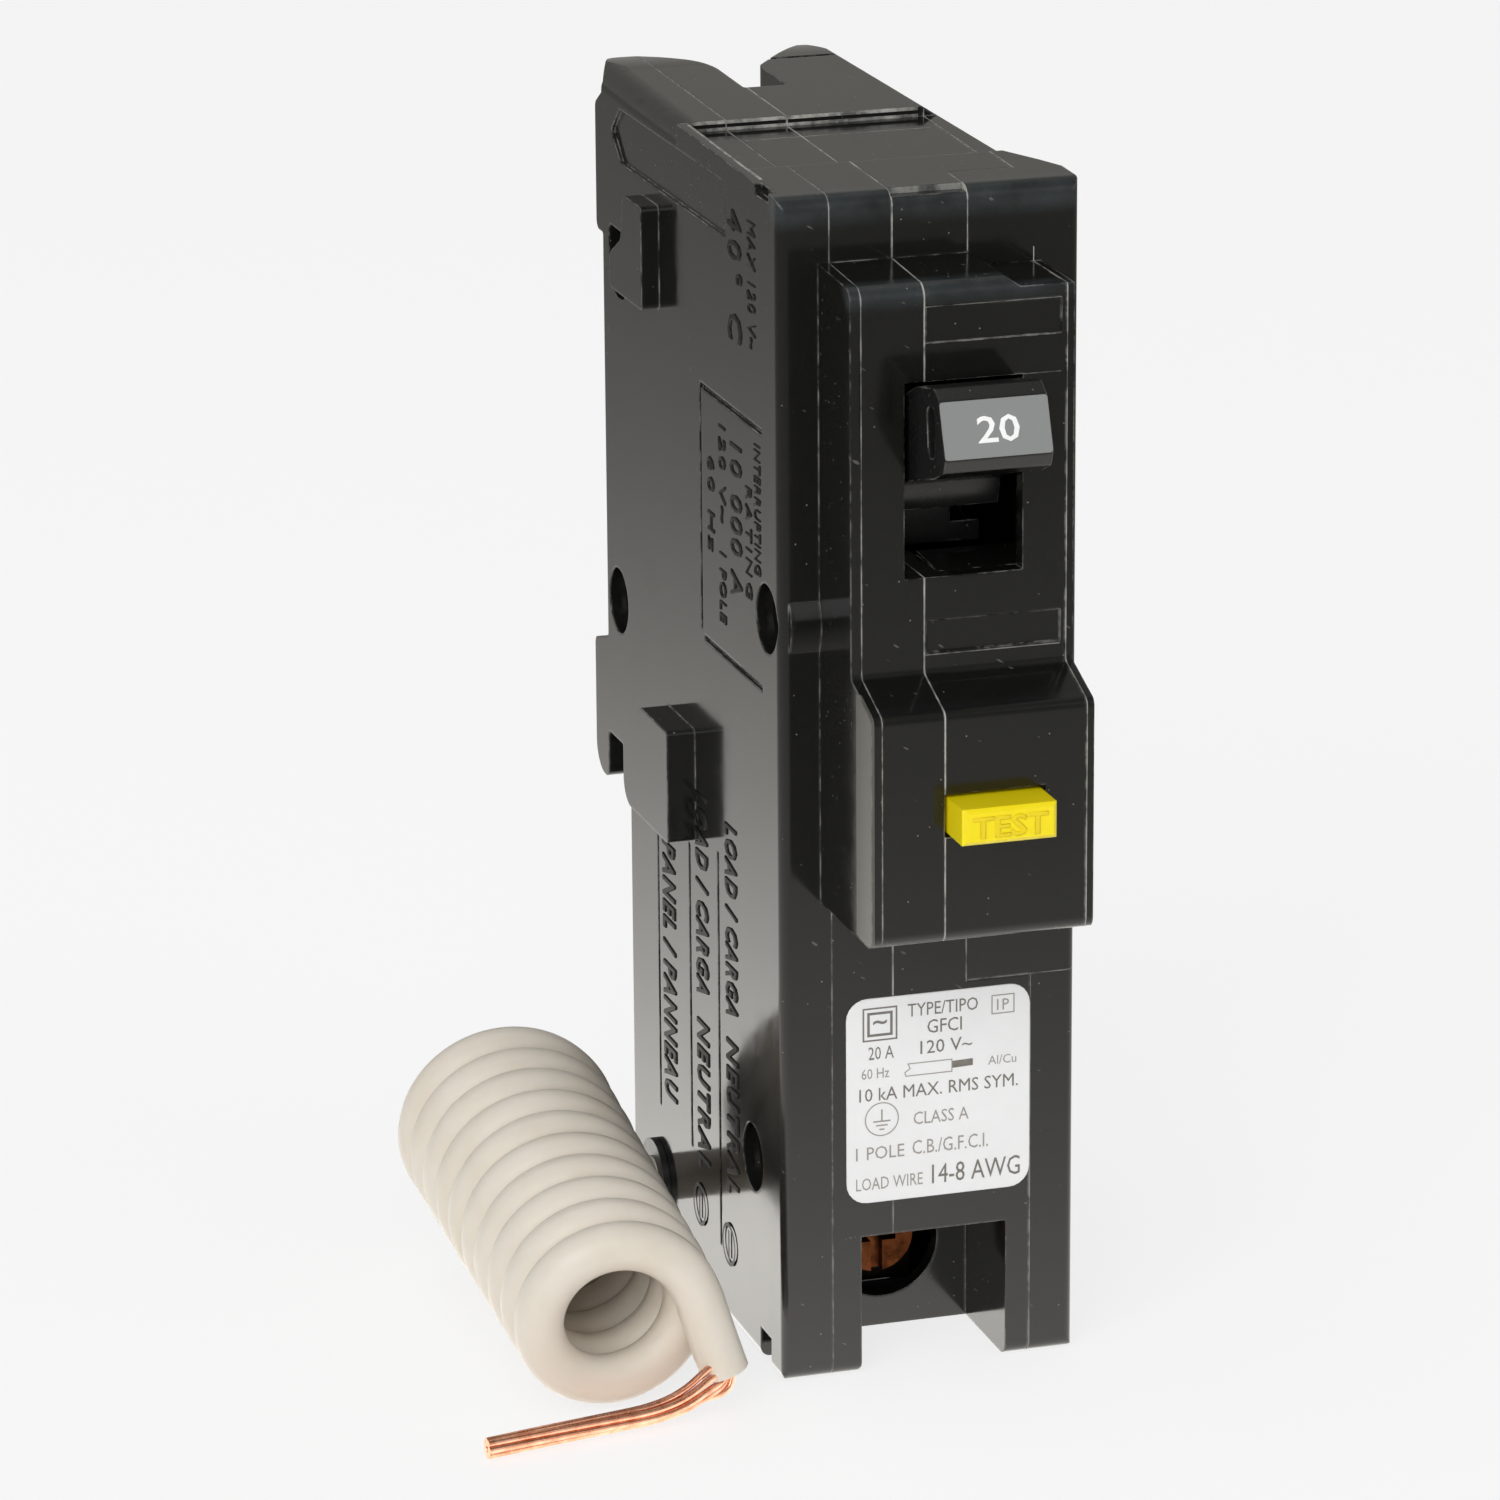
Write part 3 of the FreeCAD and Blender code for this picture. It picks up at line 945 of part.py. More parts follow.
def solenoid_frame():
    """Bent steel frame round the winding, open at the top."""
    x1 = SOLENOID_X + 2.4
    ends = [box(BOARD_FACE, x1, y, y + 1.0, SOLENOID_Z - 3.2, SOLENOID_Z + 2.6)
            for y in (SOLENOID_FRONT - 1.0, SOLENOID_REAR)]
    floor = box(BOARD_FACE, x1, SOLENOID_FRONT - 1.0, SOLENOID_REAR + 1.0, SOLENOID_Z - 3.6, SOLENOID_Z - 2.6)
    hole = rod_y(SOLENOID_X, SOLENOID_Z, PLUNGER_R + PIVOT_FIT, SOLENOID_REAR - 1, SOLENOID_REAR + 2)
    return join(floor, *ends).cut(hole)


# ---------------------------------------------------------------- trip linkage
BAR_ARM_GAP = 0.4


def solenoid_plunger():
    """Core of the solenoid with a headed nose that pushes the trip bar."""
    nose = BAR_PIVOT_Y - 2.4 - BAR_ARM_GAP
    core = rod_y(SOLENOID_X, SOLENOID_Z, PLUNGER_R, SOLENOID_FRONT + 2.0, nose - 0.6)
    head = rod_y(SOLENOID_X, SOLENOID_Z, 0.9, nose - 0.7, nose)
    return join(core, head)


def trip_bar():
    """Moulded bar through the partition: one arm behind the plunger, one before the armature."""
    y, z = BAR_PIVOT_Y, BAR_PIVOT_Z
    left_arm = side_slab([(y - 1.6, z + 1.2, 0.8), (y + 1.6, z + 1.2, 0.8), (y - 0.6, SOLENOID_Z - 1.5, 0.4),
                          (y - 2.4, SOLENOID_Z - 1.5, 0.4), (y - 2.4, SOLENOID_Z + 2.0, 0.4)],
                         SOLENOID_X - 0.8, SOLENOID_X + 1.4)
    reach = ARMATURE_Y - BAR_ARM_GAP
    foot = ARMATURE_PIVOT_Z - 8.0
    right_arm = side_slab([(y - 1.6, z + 1.2, 0.8), (y + 1.6, z + 1.2, 0.8), (reach, foot + 3.4, 0.8),
                           (reach, foot, 0.4), (reach - 1.6, foot, 0.4)],
                          BIMETAL_LEFT - 0.8, BIMETAL_LEFT + 0.8)
    shaft = rod_x(y, z, BAR_BORE_R, SOLENOID_X - 0.8, SEAM_RIGHT - 1.8)
    return join(shaft, left_arm, right_arm)


# ---------------------------------------------------------------- pigtail
def bent_tube(points, radius, report=None):
    """Tube along straight runs joined by tangent arcs, as large as the two runs allow."""
    edges = []
    last = points[0]
    for i in range(1, len(points) - 1):
        here = points[i]
        back = points[i - 1] - here
        ahead = points[i + 1] - here
        shorter = min(back.Length, ahead.Length)
        turn = math.pi - back.getAngle(ahead)
        bend = 0.45 * shorter / math.tan(turn / 2)
        if report:
            print("%s bend %d: radius %.1f mm, turn %.0f degrees" % (report, i, bend, math.degrees(turn)))
        back.normalize()
        ahead.normalize()
        start = here + back * (0.45 * shorter)
        end = here + ahead * (0.45 * shorter)
        inward = back + ahead
        inward.normalize()
        apex = here + inward * (bend / math.cos(turn / 2) - bend)
        edges.append(Part.makeLine(last, start))
        edges.append(Part.Arc(start, apex, end).toShape())
        last = end
    edges.append(Part.makeLine(last, points[-1]))
    path = Part.Wire(edges)
    disc = Part.Face(Part.Wire(Part.makeCircle(radius, points[0], points[1] - points[0])))
    tube = path.makePipe(disc)
    if report:
        section = math.pi * radius ** 2
        print("%s length %.1f mm, volume over section %.1f mm" % (report, path.Length, tube.Volume / section))
    return tube


def coil_frame():
    """Axis, sideways and upward directions of the coil."""
    axis = COIL_REAR - COIL_FRONT
    axis.normalize()
    side = axis.cross(V(0, 0, 1))
    side.normalize()
    return axis, side, side.cross(axis)


def coil_point(along, mean, degrees):
    """Point on the coil's wire; degrees count from the right-hand side upwards, seen from the front."""
    axis, side, up = coil_frame()
    angle = math.radians(degrees)
    return COIL_FRONT + axis * along + side * (mean * math.cos(angle)) + up * (mean * math.sin(angle))


PIGTAIL_START = coil_point(COIL_LENGTH + COIL_PITCH / 2, COIL_MEAN_REAR, -90)
PIGTAIL_EXIT = V(0, PIGTAIL_START.y, PIGTAIL_START.z)


def pigtail_grommet():
    y, z = PIGTAIL_EXIT.y, PIGTAIL_EXIT.z
    collar = rod_x(y, z, GROMMET_R + 0.7, -GROMMET_OUT, 0)
    sleeve = rod_x(y, z, GROMMET_R, 0, WALL)
    flange = rod_x(y, z, GROMMET_R + 0.5, WALL, WALL + 0.8)
    bore = rod_x(y, z, WIRE_R, -1, WALL + 2)
    return join(collar, sleeve, flange).cut(bore)


def pigtail_lead():
    inside = V(WALL + 1.6, PIGTAIL_EXIT.y, PIGTAIL_EXIT.z)
    return rod_between(inside, PIGTAIL_START, WIRE_R)


def pigtail_coil():
    """Outer form of the wound stretch: a slightly tapered tube."""
    axis, side, up = coil_frame()
    slope = (COIL_MEAN_REAR - COIL_MEAN_FRONT) / COIL_LENGTH
    start = -WIRE_R
    end = COIL_LENGTH + COIL_PITCH / 2 + WIRE_R

    def cone(extra, reach):
        first = COIL_MEAN_FRONT + slope * (start - reach) + extra
        last = COIL_MEAN_FRONT + slope * (end + reach) + extra
        return Part.makeCone(first, last, end - start + 2 * reach, COIL_FRONT + axis * (start - reach), axis)
    return cone(WIRE_R, 0).cut(cone(-WIRE_R, 1))


TAIL_START = coil_point(-COIL_PITCH * 0.2, COIL_MEAN_FRONT, TAIL_ANGLE)


def tail_point(distance):
    """Point on the straight tail, measured from where it leaves the coil."""
    axis, side, up = coil_frame()
    angle = math.radians(TAIL_ANGLE)
    along = side * math.sin(angle) - up * math.cos(angle) - axis * 0.16
    along.normalize()
    return TAIL_START + along * distance


def pigtail_tail():
    tube = rod_between(TAIL_START, tail_point(TAIL_LENGTH), WIRE_R)
    return tube.cut(rod_between(tail_point(TAIL_LENGTH - COPPER_CORE), tail_point(TAIL_LENGTH + 1), COPPER_R))


def pigtail_copper():
    route = [tail_point(TAIL_LENGTH - COPPER_CORE), tail_point(TAIL_LENGTH + COPPER_DROP)]
    route += [V(COIL_FRONT.x + x, COIL_FRONT.y + y, z) for x, y, z in COPPER_ROUTE]
    return bent_tube(route, COPPER_R, "copper end")


# ---------------------------------------------------------------- write every piece
PIECES = {
    "side_cover": side_cover, "electronics_case": electronics_case, "mechanism_case": mechanism_case,
    "mechanism_cover": mechanism_cover, "case_rivets": case_rivets, "handle": handle,
    "test_button": test_button, "test_spring": test_spring, "test_contact": test_contact,
    "line_jaw": line_jaw, "fixed_contact": fixed_contact, "moving_contact": moving_contact,
    "contact_arm": contact_arm, "cradle": cradle, "toggle_spring": toggle_spring,
    "arc_chute": arc_chute, "arc_plates": arc_plates, "bimetal": bimetal, "magnet_yoke": magnet_yoke,
    "armature": armature, "armature_pin": armature_pin, "load_strap": load_strap, "braid": braid,
    "load_lug": load_lug, "load_screw": load_screw, "neutral_terminal": neutral_terminal,
    "neutral_screw": neutral_screw, "circuit_board": circuit_board, "board_parts": board_parts,
    "fault_sensor": fault_sensor, "neutral_sensor": neutral_sensor, "varistor": varistor,
    "solenoid_coil": solenoid_coil, "solenoid_frame": solenoid_frame,
    "solenoid_plunger": solenoid_plunger, "trip_bar": trip_bar, "pigtail_grommet": pigtail_grommet,
    "pigtail_lead": pigtail_lead, "pigtail_coil": pigtail_coil, "pigtail_tail": pigtail_tail,
    "pigtail_copper": pigtail_copper,
}

os.makedirs("parts", exist_ok=True)
for name, make in PIECES.items():
    shape = make()
    shape.translate(ORIGIN * -1)
    shape.exportStep("parts/%s.step" % name)
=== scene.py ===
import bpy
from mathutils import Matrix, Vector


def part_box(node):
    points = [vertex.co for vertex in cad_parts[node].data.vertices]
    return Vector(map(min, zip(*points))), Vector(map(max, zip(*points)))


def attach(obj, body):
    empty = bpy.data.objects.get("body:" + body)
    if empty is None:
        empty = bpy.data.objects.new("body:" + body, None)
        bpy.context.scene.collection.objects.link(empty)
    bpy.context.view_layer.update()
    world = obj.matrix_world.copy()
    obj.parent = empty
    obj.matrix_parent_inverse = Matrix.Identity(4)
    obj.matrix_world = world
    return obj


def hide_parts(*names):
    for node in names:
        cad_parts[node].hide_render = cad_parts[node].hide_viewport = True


bl_info = {
    "name": "Ground-fault circuit breaker",
    "version": (1, 0, 0),
    "blender": (4, 5, 0),
    "location": "View3D > Sidebar > Breaker",
    "description": "Finishes, lettering, pigtail and studio for a single-pole ground-fault breaker",
    "category": "Object",
}

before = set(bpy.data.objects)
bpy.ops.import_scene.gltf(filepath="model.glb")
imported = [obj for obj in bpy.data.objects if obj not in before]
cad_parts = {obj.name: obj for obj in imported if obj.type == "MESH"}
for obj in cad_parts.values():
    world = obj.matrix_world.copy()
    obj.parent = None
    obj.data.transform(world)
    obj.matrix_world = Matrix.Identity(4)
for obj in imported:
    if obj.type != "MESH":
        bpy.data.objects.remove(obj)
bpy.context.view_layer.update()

import math

import bmesh
import bpy
from bpy.props import FloatProperty, FloatVectorProperty, IntProperty, PointerProperty, StringProperty
from mathutils import Matrix, Vector

MM = 0.001

# Sizes of the breaker that more than one place here needs, in millimetres.
COVER_WIDTH = 4.3            # left cover, from the flat left side to its joint
BUTTON_REACH = 17.0          # test button's front, ahead of the shoulder
WALL = 1.6
INK_GAP = 0.015              # printing stands this far off its film, so that the two stay apart

# Datum planes of the breaker, read from the solids: flat left side, front shoulder, underside.
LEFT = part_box("side_cover")[1][0] - COVER_WIDTH * MM
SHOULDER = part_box("test_button")[0][1] + BUTTON_REACH * MM
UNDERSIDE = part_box("mechanism_case")[0][2]


def at(x, y, z):
    """Point in millimetres from the left side, the shoulder and the underside, in metres."""
    return Vector((LEFT + x * MM, SHOULDER + y * MM, UNDERSIDE + z * MM))


def colour(text):
    """Linear RGBA of an sRGB hex value."""
    parts = [int(text[i:i + 2], 16) / 255 for i in (1, 3, 5)]
    return (*[p / 12.92 if p <= 0.04045 else ((p + 0.055) / 1.055) ** 2.4 for p in parts], 1.0)


def shade(tone, factor, lift=0.0):
    """Tone made darker or lighter, no brighter than white."""
    return [min(1.0, c * factor + lift) for c in tone[:3]] + [1.0]


def add(tree, kind, inputs=None, **settings):
    """Adds a node with its settings; inputs gives each socket a value or another socket to link."""
    node = tree.nodes.new("ShaderNode" + kind)
    for name, value in settings.items():
        setattr(node, name, value)
    for key, value in (inputs or {}).items():
        socket = node.inputs[key]
        if isinstance(value, bpy.types.NodeSocket):
            tree.links.new(value, socket)
        else:
            socket.default_value = value
    return node


def new_material(name, **sockets):
    """Empty material with a principled shader; returns the material, its tree and the shader."""
    mat = bpy.data.materials.new(name)
    mat.use_nodes = True
    tree = mat.node_tree
    tree.nodes.clear()
    shader = add(tree, "BsdfPrincipled", {key.replace("_", " "): value for key, value in sockets.items()})
    add(tree, "OutputMaterial", {"Surface": shader.outputs[0]})
    return mat, tree, shader


def dress(node_name, mat):
    """Gives a carried-over solid its finish."""
    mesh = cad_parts[node_name].data
    mesh.materials.clear()
    mesh.materials.append(mat)


def finish_piece(obj, mat, body):
    """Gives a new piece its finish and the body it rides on."""
    obj.data.materials.clear()
    obj.data.materials.append(mat)
    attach(obj, body)
    return obj


# ------------------------------------------------------------------ sizes a user would change
class StudioSizes(bpy.types.PropertyGroup):
    lens: FloatProperty(name="Lens", description="Focal length on a 36 mm sensor", default=169.434,
                        unit="CAMERA")
    key_power: FloatProperty(name="Key light", description="Power of the large light at the front left",
                             default=17.0, unit="POWER")
    fill_power: FloatProperty(name="Fill light", description="Power of the light at the front right",
                              default=1.8, unit="POWER")
    floor: FloatVectorProperty(name="Floor", description="Colour of the floor", subtype="COLOR", size=4,
                               default=colour("#f6f6f6"))


class PigtailSizes(bpy.types.PropertyGroup):
    wire: FloatProperty(name="Wire", description="Diameter over the insulation", default=4.1 * MM,
                        unit="LENGTH")
    strand: FloatProperty(name="Strand", description="Diameter of one bare strand", default=0.62 * MM,
                          unit="LENGTH")
    strands: IntProperty(name="Strands", description="Bare strands at the cut end", default=7, min=3,
                         max=19)
    turn_points: IntProperty(name="Points per turn", description="Control points in one turn", default=16,
                             min=12)


class FinishColours(bpy.types.PropertyGroup):
    case: FloatVectorProperty(name="Case", description="Moulded case", subtype="COLOR", size=4,
                              default=colour("#111110"))
    button: FloatVectorProperty(name="Button", description="Test button", subtype="COLOR", size=4,
                                default=colour("#ffe70a"))
    vinyl: FloatVectorProperty(name="Wire", description="Pigtail insulation", subtype="COLOR", size=4,
                               default=colour("#e2dacd"))
    label: FloatVectorProperty(name="Label", description="Rating label", subtype="COLOR", size=4,
                               default=colour("#f6f6f6"))


class Lettering(bpy.types.PropertyGroup):
    rating: StringProperty(name="Handle number", description="Number on the handle", default="20")
    button: StringProperty(name="Button word", description="Word on the test button", default="TEST")
    relief: FloatProperty(name="Relief", description="How far moulded letters stand proud", default=0.12 * MM,
                          unit="LENGTH")


# ------------------------------------------------------------------ camera, light, floor
class STAGE_OT_build(bpy.types.Operator):
    """Camera, soft studio light and pale floor"""
    bl_idname = "breaker.stage"
    bl_label = "Studio"

    def execute(self, context):
        sizes = context.scene.breaker_studio
        camera = bpy.data.objects.new("camera", bpy.data.cameras.new("camera"))
        context.collection.objects.link(camera)
        camera.data.lens = sizes.lens
        camera.data.sensor_width = 36
        camera.data.clip_end = 20
        camera.location = at(-162.66, -520.28, 220.33)
        camera.rotation_euler = [math.radians(a) for a in (73.12073502, 0.41375783, -17.23181126)]
        context.scene.camera = camera
        context.scene.view_settings.view_transform = "Standard"
        self.floor(context, sizes)
        self.lights(context, sizes)
        self.surroundings(context)
        return {"FINISHED"}

    def floor(self, context, sizes):
        """Wide sheet of paper under the breaker."""
        mesh = bpy.data.meshes.new("floor")
        bm = bmesh.new()
        bmesh.ops.create_grid(bm, x_segments=2, y_segments=2, size=4.0)
        bm.to_mesh(mesh)
        bm.free()
        floor = bpy.data.objects.new("floor", mesh)
        floor.location.z = UNDERSIDE - 0.02 * MM
        context.collection.objects.link(floor)
        # Seamless paper, matt: it takes a soft shadow and otherwise shows nearly white.
        mat, tree, shader = new_material("seamless_paper", Roughness=0.9, Specular_IOR_Level=0.0,
                                         Base_Color=sizes.floor)
        path = add(tree, "LightPath")
        white = add(tree, "Emission", {"Color": (1, 1, 1, 1), "Strength": 1.0})
        seen = add(tree, "MixShader", {0: 0.78, 1: shader.outputs[0], 2: white.outputs[0]})
        # Painted pool of light: to polished faces the paper glows, brightest beside the breaker and dimmer
        # farther out.
        place = add(tree, "TexCoord")
        centre = at(-20, 25, 0) - floor.location
        reach = add(tree, "VectorMath", {0: place.outputs["Object"], 1: centre}, operation="DISTANCE")
        fall = add(tree, "Math", {0: reach.outputs["Value"], 1: -1 / (110 * MM)}, operation="MULTIPLY")
        painted_light_pool = add(tree, "Math", {0: math.e, 1: fall.outputs[0]}, operation="POWER")
        level = add(tree, "Math", {0: painted_light_pool.outputs[0], 1: 2.4, 2: 0.22}, operation="MULTIPLY_ADD")
        mirrored = add(tree, "Emission", {"Color": (1, 0.975, 0.92, 1), "Strength": level.outputs[0]})
        either = add(tree, "Math", {0: path.outputs["Is Glossy Ray"], 1: path.outputs["Is Transmission Ray"]},
                     operation="MAXIMUM")
        direct = add(tree, "MixShader", {0: path.outputs["Is Camera Ray"], 1: shader.outputs[0],
                                         2: seen.outputs[0]})
        both = add(tree, "MixShader", {0: either.outputs[0], 1: direct.outputs[0], 2: mirrored.outputs[0]})
        add(tree, "OutputMaterial", {"Surface": both.outputs[0]}).is_active_output = True
        mesh.materials.append(mat)

    def lights(self, context, sizes):
        """Large key lamp at the front left, and weak ones at the front right and overhead."""
        for name, power, size, place in (
                ("key", sizes.key_power, 1.3, (-0.88, -1.2, 0.8)),
                ("fill", sizes.fill_power, 0.8, (0.8, -0.8, 0.5)),
                ("top", sizes.key_power * 0.11, 0.9, (-0.2, 0.3, 1.2))):
            lamp = bpy.data.lights.new(name, "AREA")
            lamp.energy = power
            lamp.size = size
            obj = bpy.data.objects.new(name, lamp)
            obj.location = place
            obj.rotation_euler = (Vector((0, 0, 0.04)) - Vector(place)).to_track_quat("-Z", "Y").to_euler()
            context.collection.objects.link(obj)

    def surroundings(self, context):
        """White to the eye, even light on the breaker, dimmer overhead and in front for polished faces."""
        world = bpy.data.worlds.new("studio")
        context.scene.world = world
        world.use_nodes = True
        tree = world.node_tree
        tree.nodes.clear()
        white = add(tree, "Background", {"Color": (1, 1, 1, 1), "Strength": 1.0})
        ambient = add(tree, "Background", {"Color": (1, 1, 1, 1), "Strength": 0.36})
        way = add(tree, "TexCoord")
        axes = add(tree, "SeparateXYZ", {0: way.outputs["Generated"]})
        rise = add(tree, "MapRange", {"Value": axes.outputs[2], "From Min": 0.0, "From Max": 1.0,
                                      "To Min": 0.36, "To Max": 0.3})
        front = add(tree, "MapRange", {"Value": axes.outputs[1], "From Min": -1.0, "From Max": 1.0,
                                       "To Min": 0.45, "To Max": 1.0})
        level = add(tree, "Math", {0: rise.outputs[0], 1: front.outputs[0]}, operation="MULTIPLY")
        mirrored = add(tree, "Background", {"Color": (1, 0.97, 0.9, 1), "Strength": level.outputs[0]})
        path = add(tree, "LightPath")
        either = add(tree, "Math", {0: path.outputs["Is Glossy Ray"], 1: path.outputs["Is Transmission Ray"]},
                     operation="MAXIMUM")
        direct = add(tree, "MixShader", {0: path.outputs["Is Camera Ray"], 1: ambient.outputs[0],
                                         2: white.outputs[0]})
        both = add(tree, "MixShader", {0: either.outputs[0], 1: direct.outputs[0], 2: mirrored.outputs[0]})
        add(tree, "OutputWorld", {"Surface": both.outputs[0]})


# ------------------------------------------------------------------ finishes
def object_position(tree):
    """Object position, in metres."""
    return add(tree, "TexCoord").outputs["Object"]


def line_mask(tree, axis, place, half, spans=(), strength=1.0):
    """Mask of a straight line at one place along an axis, cut to spans given as (axis, low, high)."""
    mask = add(tree, "Math", {0: axis, 1: place, 2: half}, operation="COMPARE")
    for other, low, high in spans:
        inside = add(tree, "Math", {0: other, 1: (low + high) / 2, 2: (high - low) / 2}, operation="COMPARE")
        mask = add(tree, "Math", {0: mask.outputs[0], 1: inside.outputs[0]}, operation="MULTIPLY")
    return add(tree, "Math", {0: mask.outputs[0], 1: strength}, operation="MULTIPLY").outputs[0]


def seam_mask(tree, axes, patches):
    """Pale flash and chips along the case's parting lines, and fine tool lines on its front and line end."""
    x, y, z = axes
    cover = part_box("side_cover")[1][0]
    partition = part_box("electronics_case")[1][0]
    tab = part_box("mechanism_cover")[0][0]
    right = at(21.5, 0, 0).x

    def up(low, high):
        return z, at(0, 0, low).z, at(0, 0, high).z

    def back(low, high):
        return y, at(0, low, 0).y, at(0, high, 0).y

    def over(low, high):
        return x, at(low, 0, 0).x, at(high, 0, 0).x

    fine, wide = 0.045 * MM, 0.1 * MM
    lines = [
        (x, cover, fine, (up(40, 103),), 0.8), (x, cover, fine, (up(0, 40),), 0.3),
        (x, partition, wide * 0.7, (up(33, 103),), 1.0), (x, partition, fine, (up(0, 33),), 0.5),
        (x, tab, fine, (up(94.9, 103), back(-20, 5)), 1.0),
        (x, tab, fine, (up(33.5, 41.6), back(-20, 5)), 0.8),
        (x, right, fine, (up(0, 33.5),), 0.5), (x, right, fine, (up(41.6, 94.9),), 0.8),
        (x, right, fine, (up(94.9, 103), back(5, 60)), 0.9),
        (z, at(0, 0, 33.6).z, fine, (over(15.9, 25.5), back(-1, 1)), 0.5),
        # Across the line end: top and foot of the recess's rear wall, a tool line, the recess's front edge at
        # either end and the parting step. The last line runs along the recess's left edge.
        (y, at(0, 27.6, 0).y, wide * 1.4, (over(0.3, 21), up(100.6, 103)), 1.0),
        (y, at(0, 27.6, 0).y, wide * 1.4, (over(1.0, 21), up(99.9, 100.3)), 0.8),
        (y, at(0, 23.5, 0).y, fine, (over(4.7, 20.7), up(98, 103)), 0.9),
        (y, at(0, 10.8, 0).y, wide, (over(3.9, 5.7), up(98, 103)), 0.9),
        (y, at(0, 10.8, 0).y, wide, (over(17.6, 20), up(98, 103)), 0.7),
        (y, at(0, 1.3, 0).y, fine * 0.6, (over(9.55, 15.9), up(98, 103)), 0.5),
        (x, at(0.9, 0, 0).x, wide * 1.5, (back(7, 27), up(98, 103)), 1.0),
    ]
    for height, strength in ((92.6, 0.6), (89.7, 0.5), (86.6, 0.3), (64.2, 0.5)):
        lines.append((z, at(0, 0, height).z, fine, (over(9.6, 21), back(-9, -7)), strength))
    total = 0.0
    for line in lines:
        total = add(tree, "Math", {0: line_mask(tree, *line), 1: total}, operation="MAXIMUM").outputs[0]
    broken = add(tree, "MapRange", {"Value": patches, "From Min": 0.36, "From Max": 0.56, "To Min": 0.25,
                                    "To Max": 1.0})
    return add(tree, "Math", {0: total, 1: broken.outputs[0]}, operation="MULTIPLY").outputs[0]


def haze_and_sheen_mask(tree, axes, mottle):
    """Hazy handling marks and a painted sheen where the case, the raised front and the test block round over
    on top.
    """
    y, z = axes[1], axes[2]
    total = 0.0
    # Middle of each band, as depth and height, and how far it fades.
    for depth, height, reach in ((0.5, 99.6, 2.4), (-7.6, 94.4, 2.2), (-12.9, 62.4, 1.6)):
        across = add(tree, "Math", {0: y, 1: at(0, depth, 0).y}, operation="SUBTRACT").outputs[0]
        upward = add(tree, "Math", {0: z, 1: at(0, 0, height).z}, operation="SUBTRACT").outputs[0]
        spot = add(tree, "CombineXYZ", {0: across, 1: upward})
        away = add(tree, "VectorMath", {0: spot.outputs[0]}, operation="LENGTH")
        band = add(tree, "MapRange", {"Value": away.outputs["Value"], "From Min": reach * MM,
                                      "From Max": reach * 0.35 * MM}, interpolation_type="SMOOTHSTEP")
        total = add(tree, "Math", {0: band.outputs[0], 1: total}, operation="MAXIMUM").outputs[0]
    cloud = add(tree, "MapRange", {"Value": mottle, "From Min": 0.3, "From Max": 0.72, "To Min": 0.15})
    return add(tree, "Math", {0: total, 1: cloud.outputs[0]}, operation="MULTIPLY").outputs[0]


def lint_mask(tree, place):
    """Dust specks about 0.1 mm across, a few to the square centimetre, and hairline scratches."""
    cells = add(tree, "TexVoronoi", {"Vector": place, "Scale": 1 / (1.0 * MM), "Randomness": 1.0})
    speck = add(tree, "MapRange", {"Value": cells.outputs["Distance"], "From Min": 0.08, "From Max": 0.05})
    value = add(tree, "SeparateColor", {0: cells.outputs["Color"]})
    few = add(tree, "Math", {0: value.outputs[0], 1: 0.68}, operation="GREATER_THAN")
    dust = add(tree, "Math", {0: speck.outputs[0], 1: few.outputs[0]}, operation="MULTIPLY")
    # Scratches: noise drawn out 25 times along a slanting way and kept only at its crests.
    turned = add(tree, "VectorRotate", {"Vector": place, "Rotation": (0.5, 0.9, 0.4)},
                 rotation_type="EULER_XYZ")
    drawn = add(tree, "VectorMath", {0: turned.outputs[0], 1: (1.0, 1.0, 0.04)}, operation="MULTIPLY")
    hairs = add(tree, "TexNoise", {"Vector": drawn.outputs[0], "Scale": 1 / (0.5 * MM), "Detail": 1.0})
    scratch = add(tree, "MapRange", {"Value": hairs.outputs[0], "From Min": 0.76, "From Max": 0.8,
                                     "To Max": 0.5})
    total = add(tree, "Math", {0: dust.outputs[0], 1: scratch.outputs[0]}, operation="MAXIMUM")
    return add(tree, "Math", {0: total.outputs[0], 1: 0.4}, operation="MULTIPLY").outputs[0]


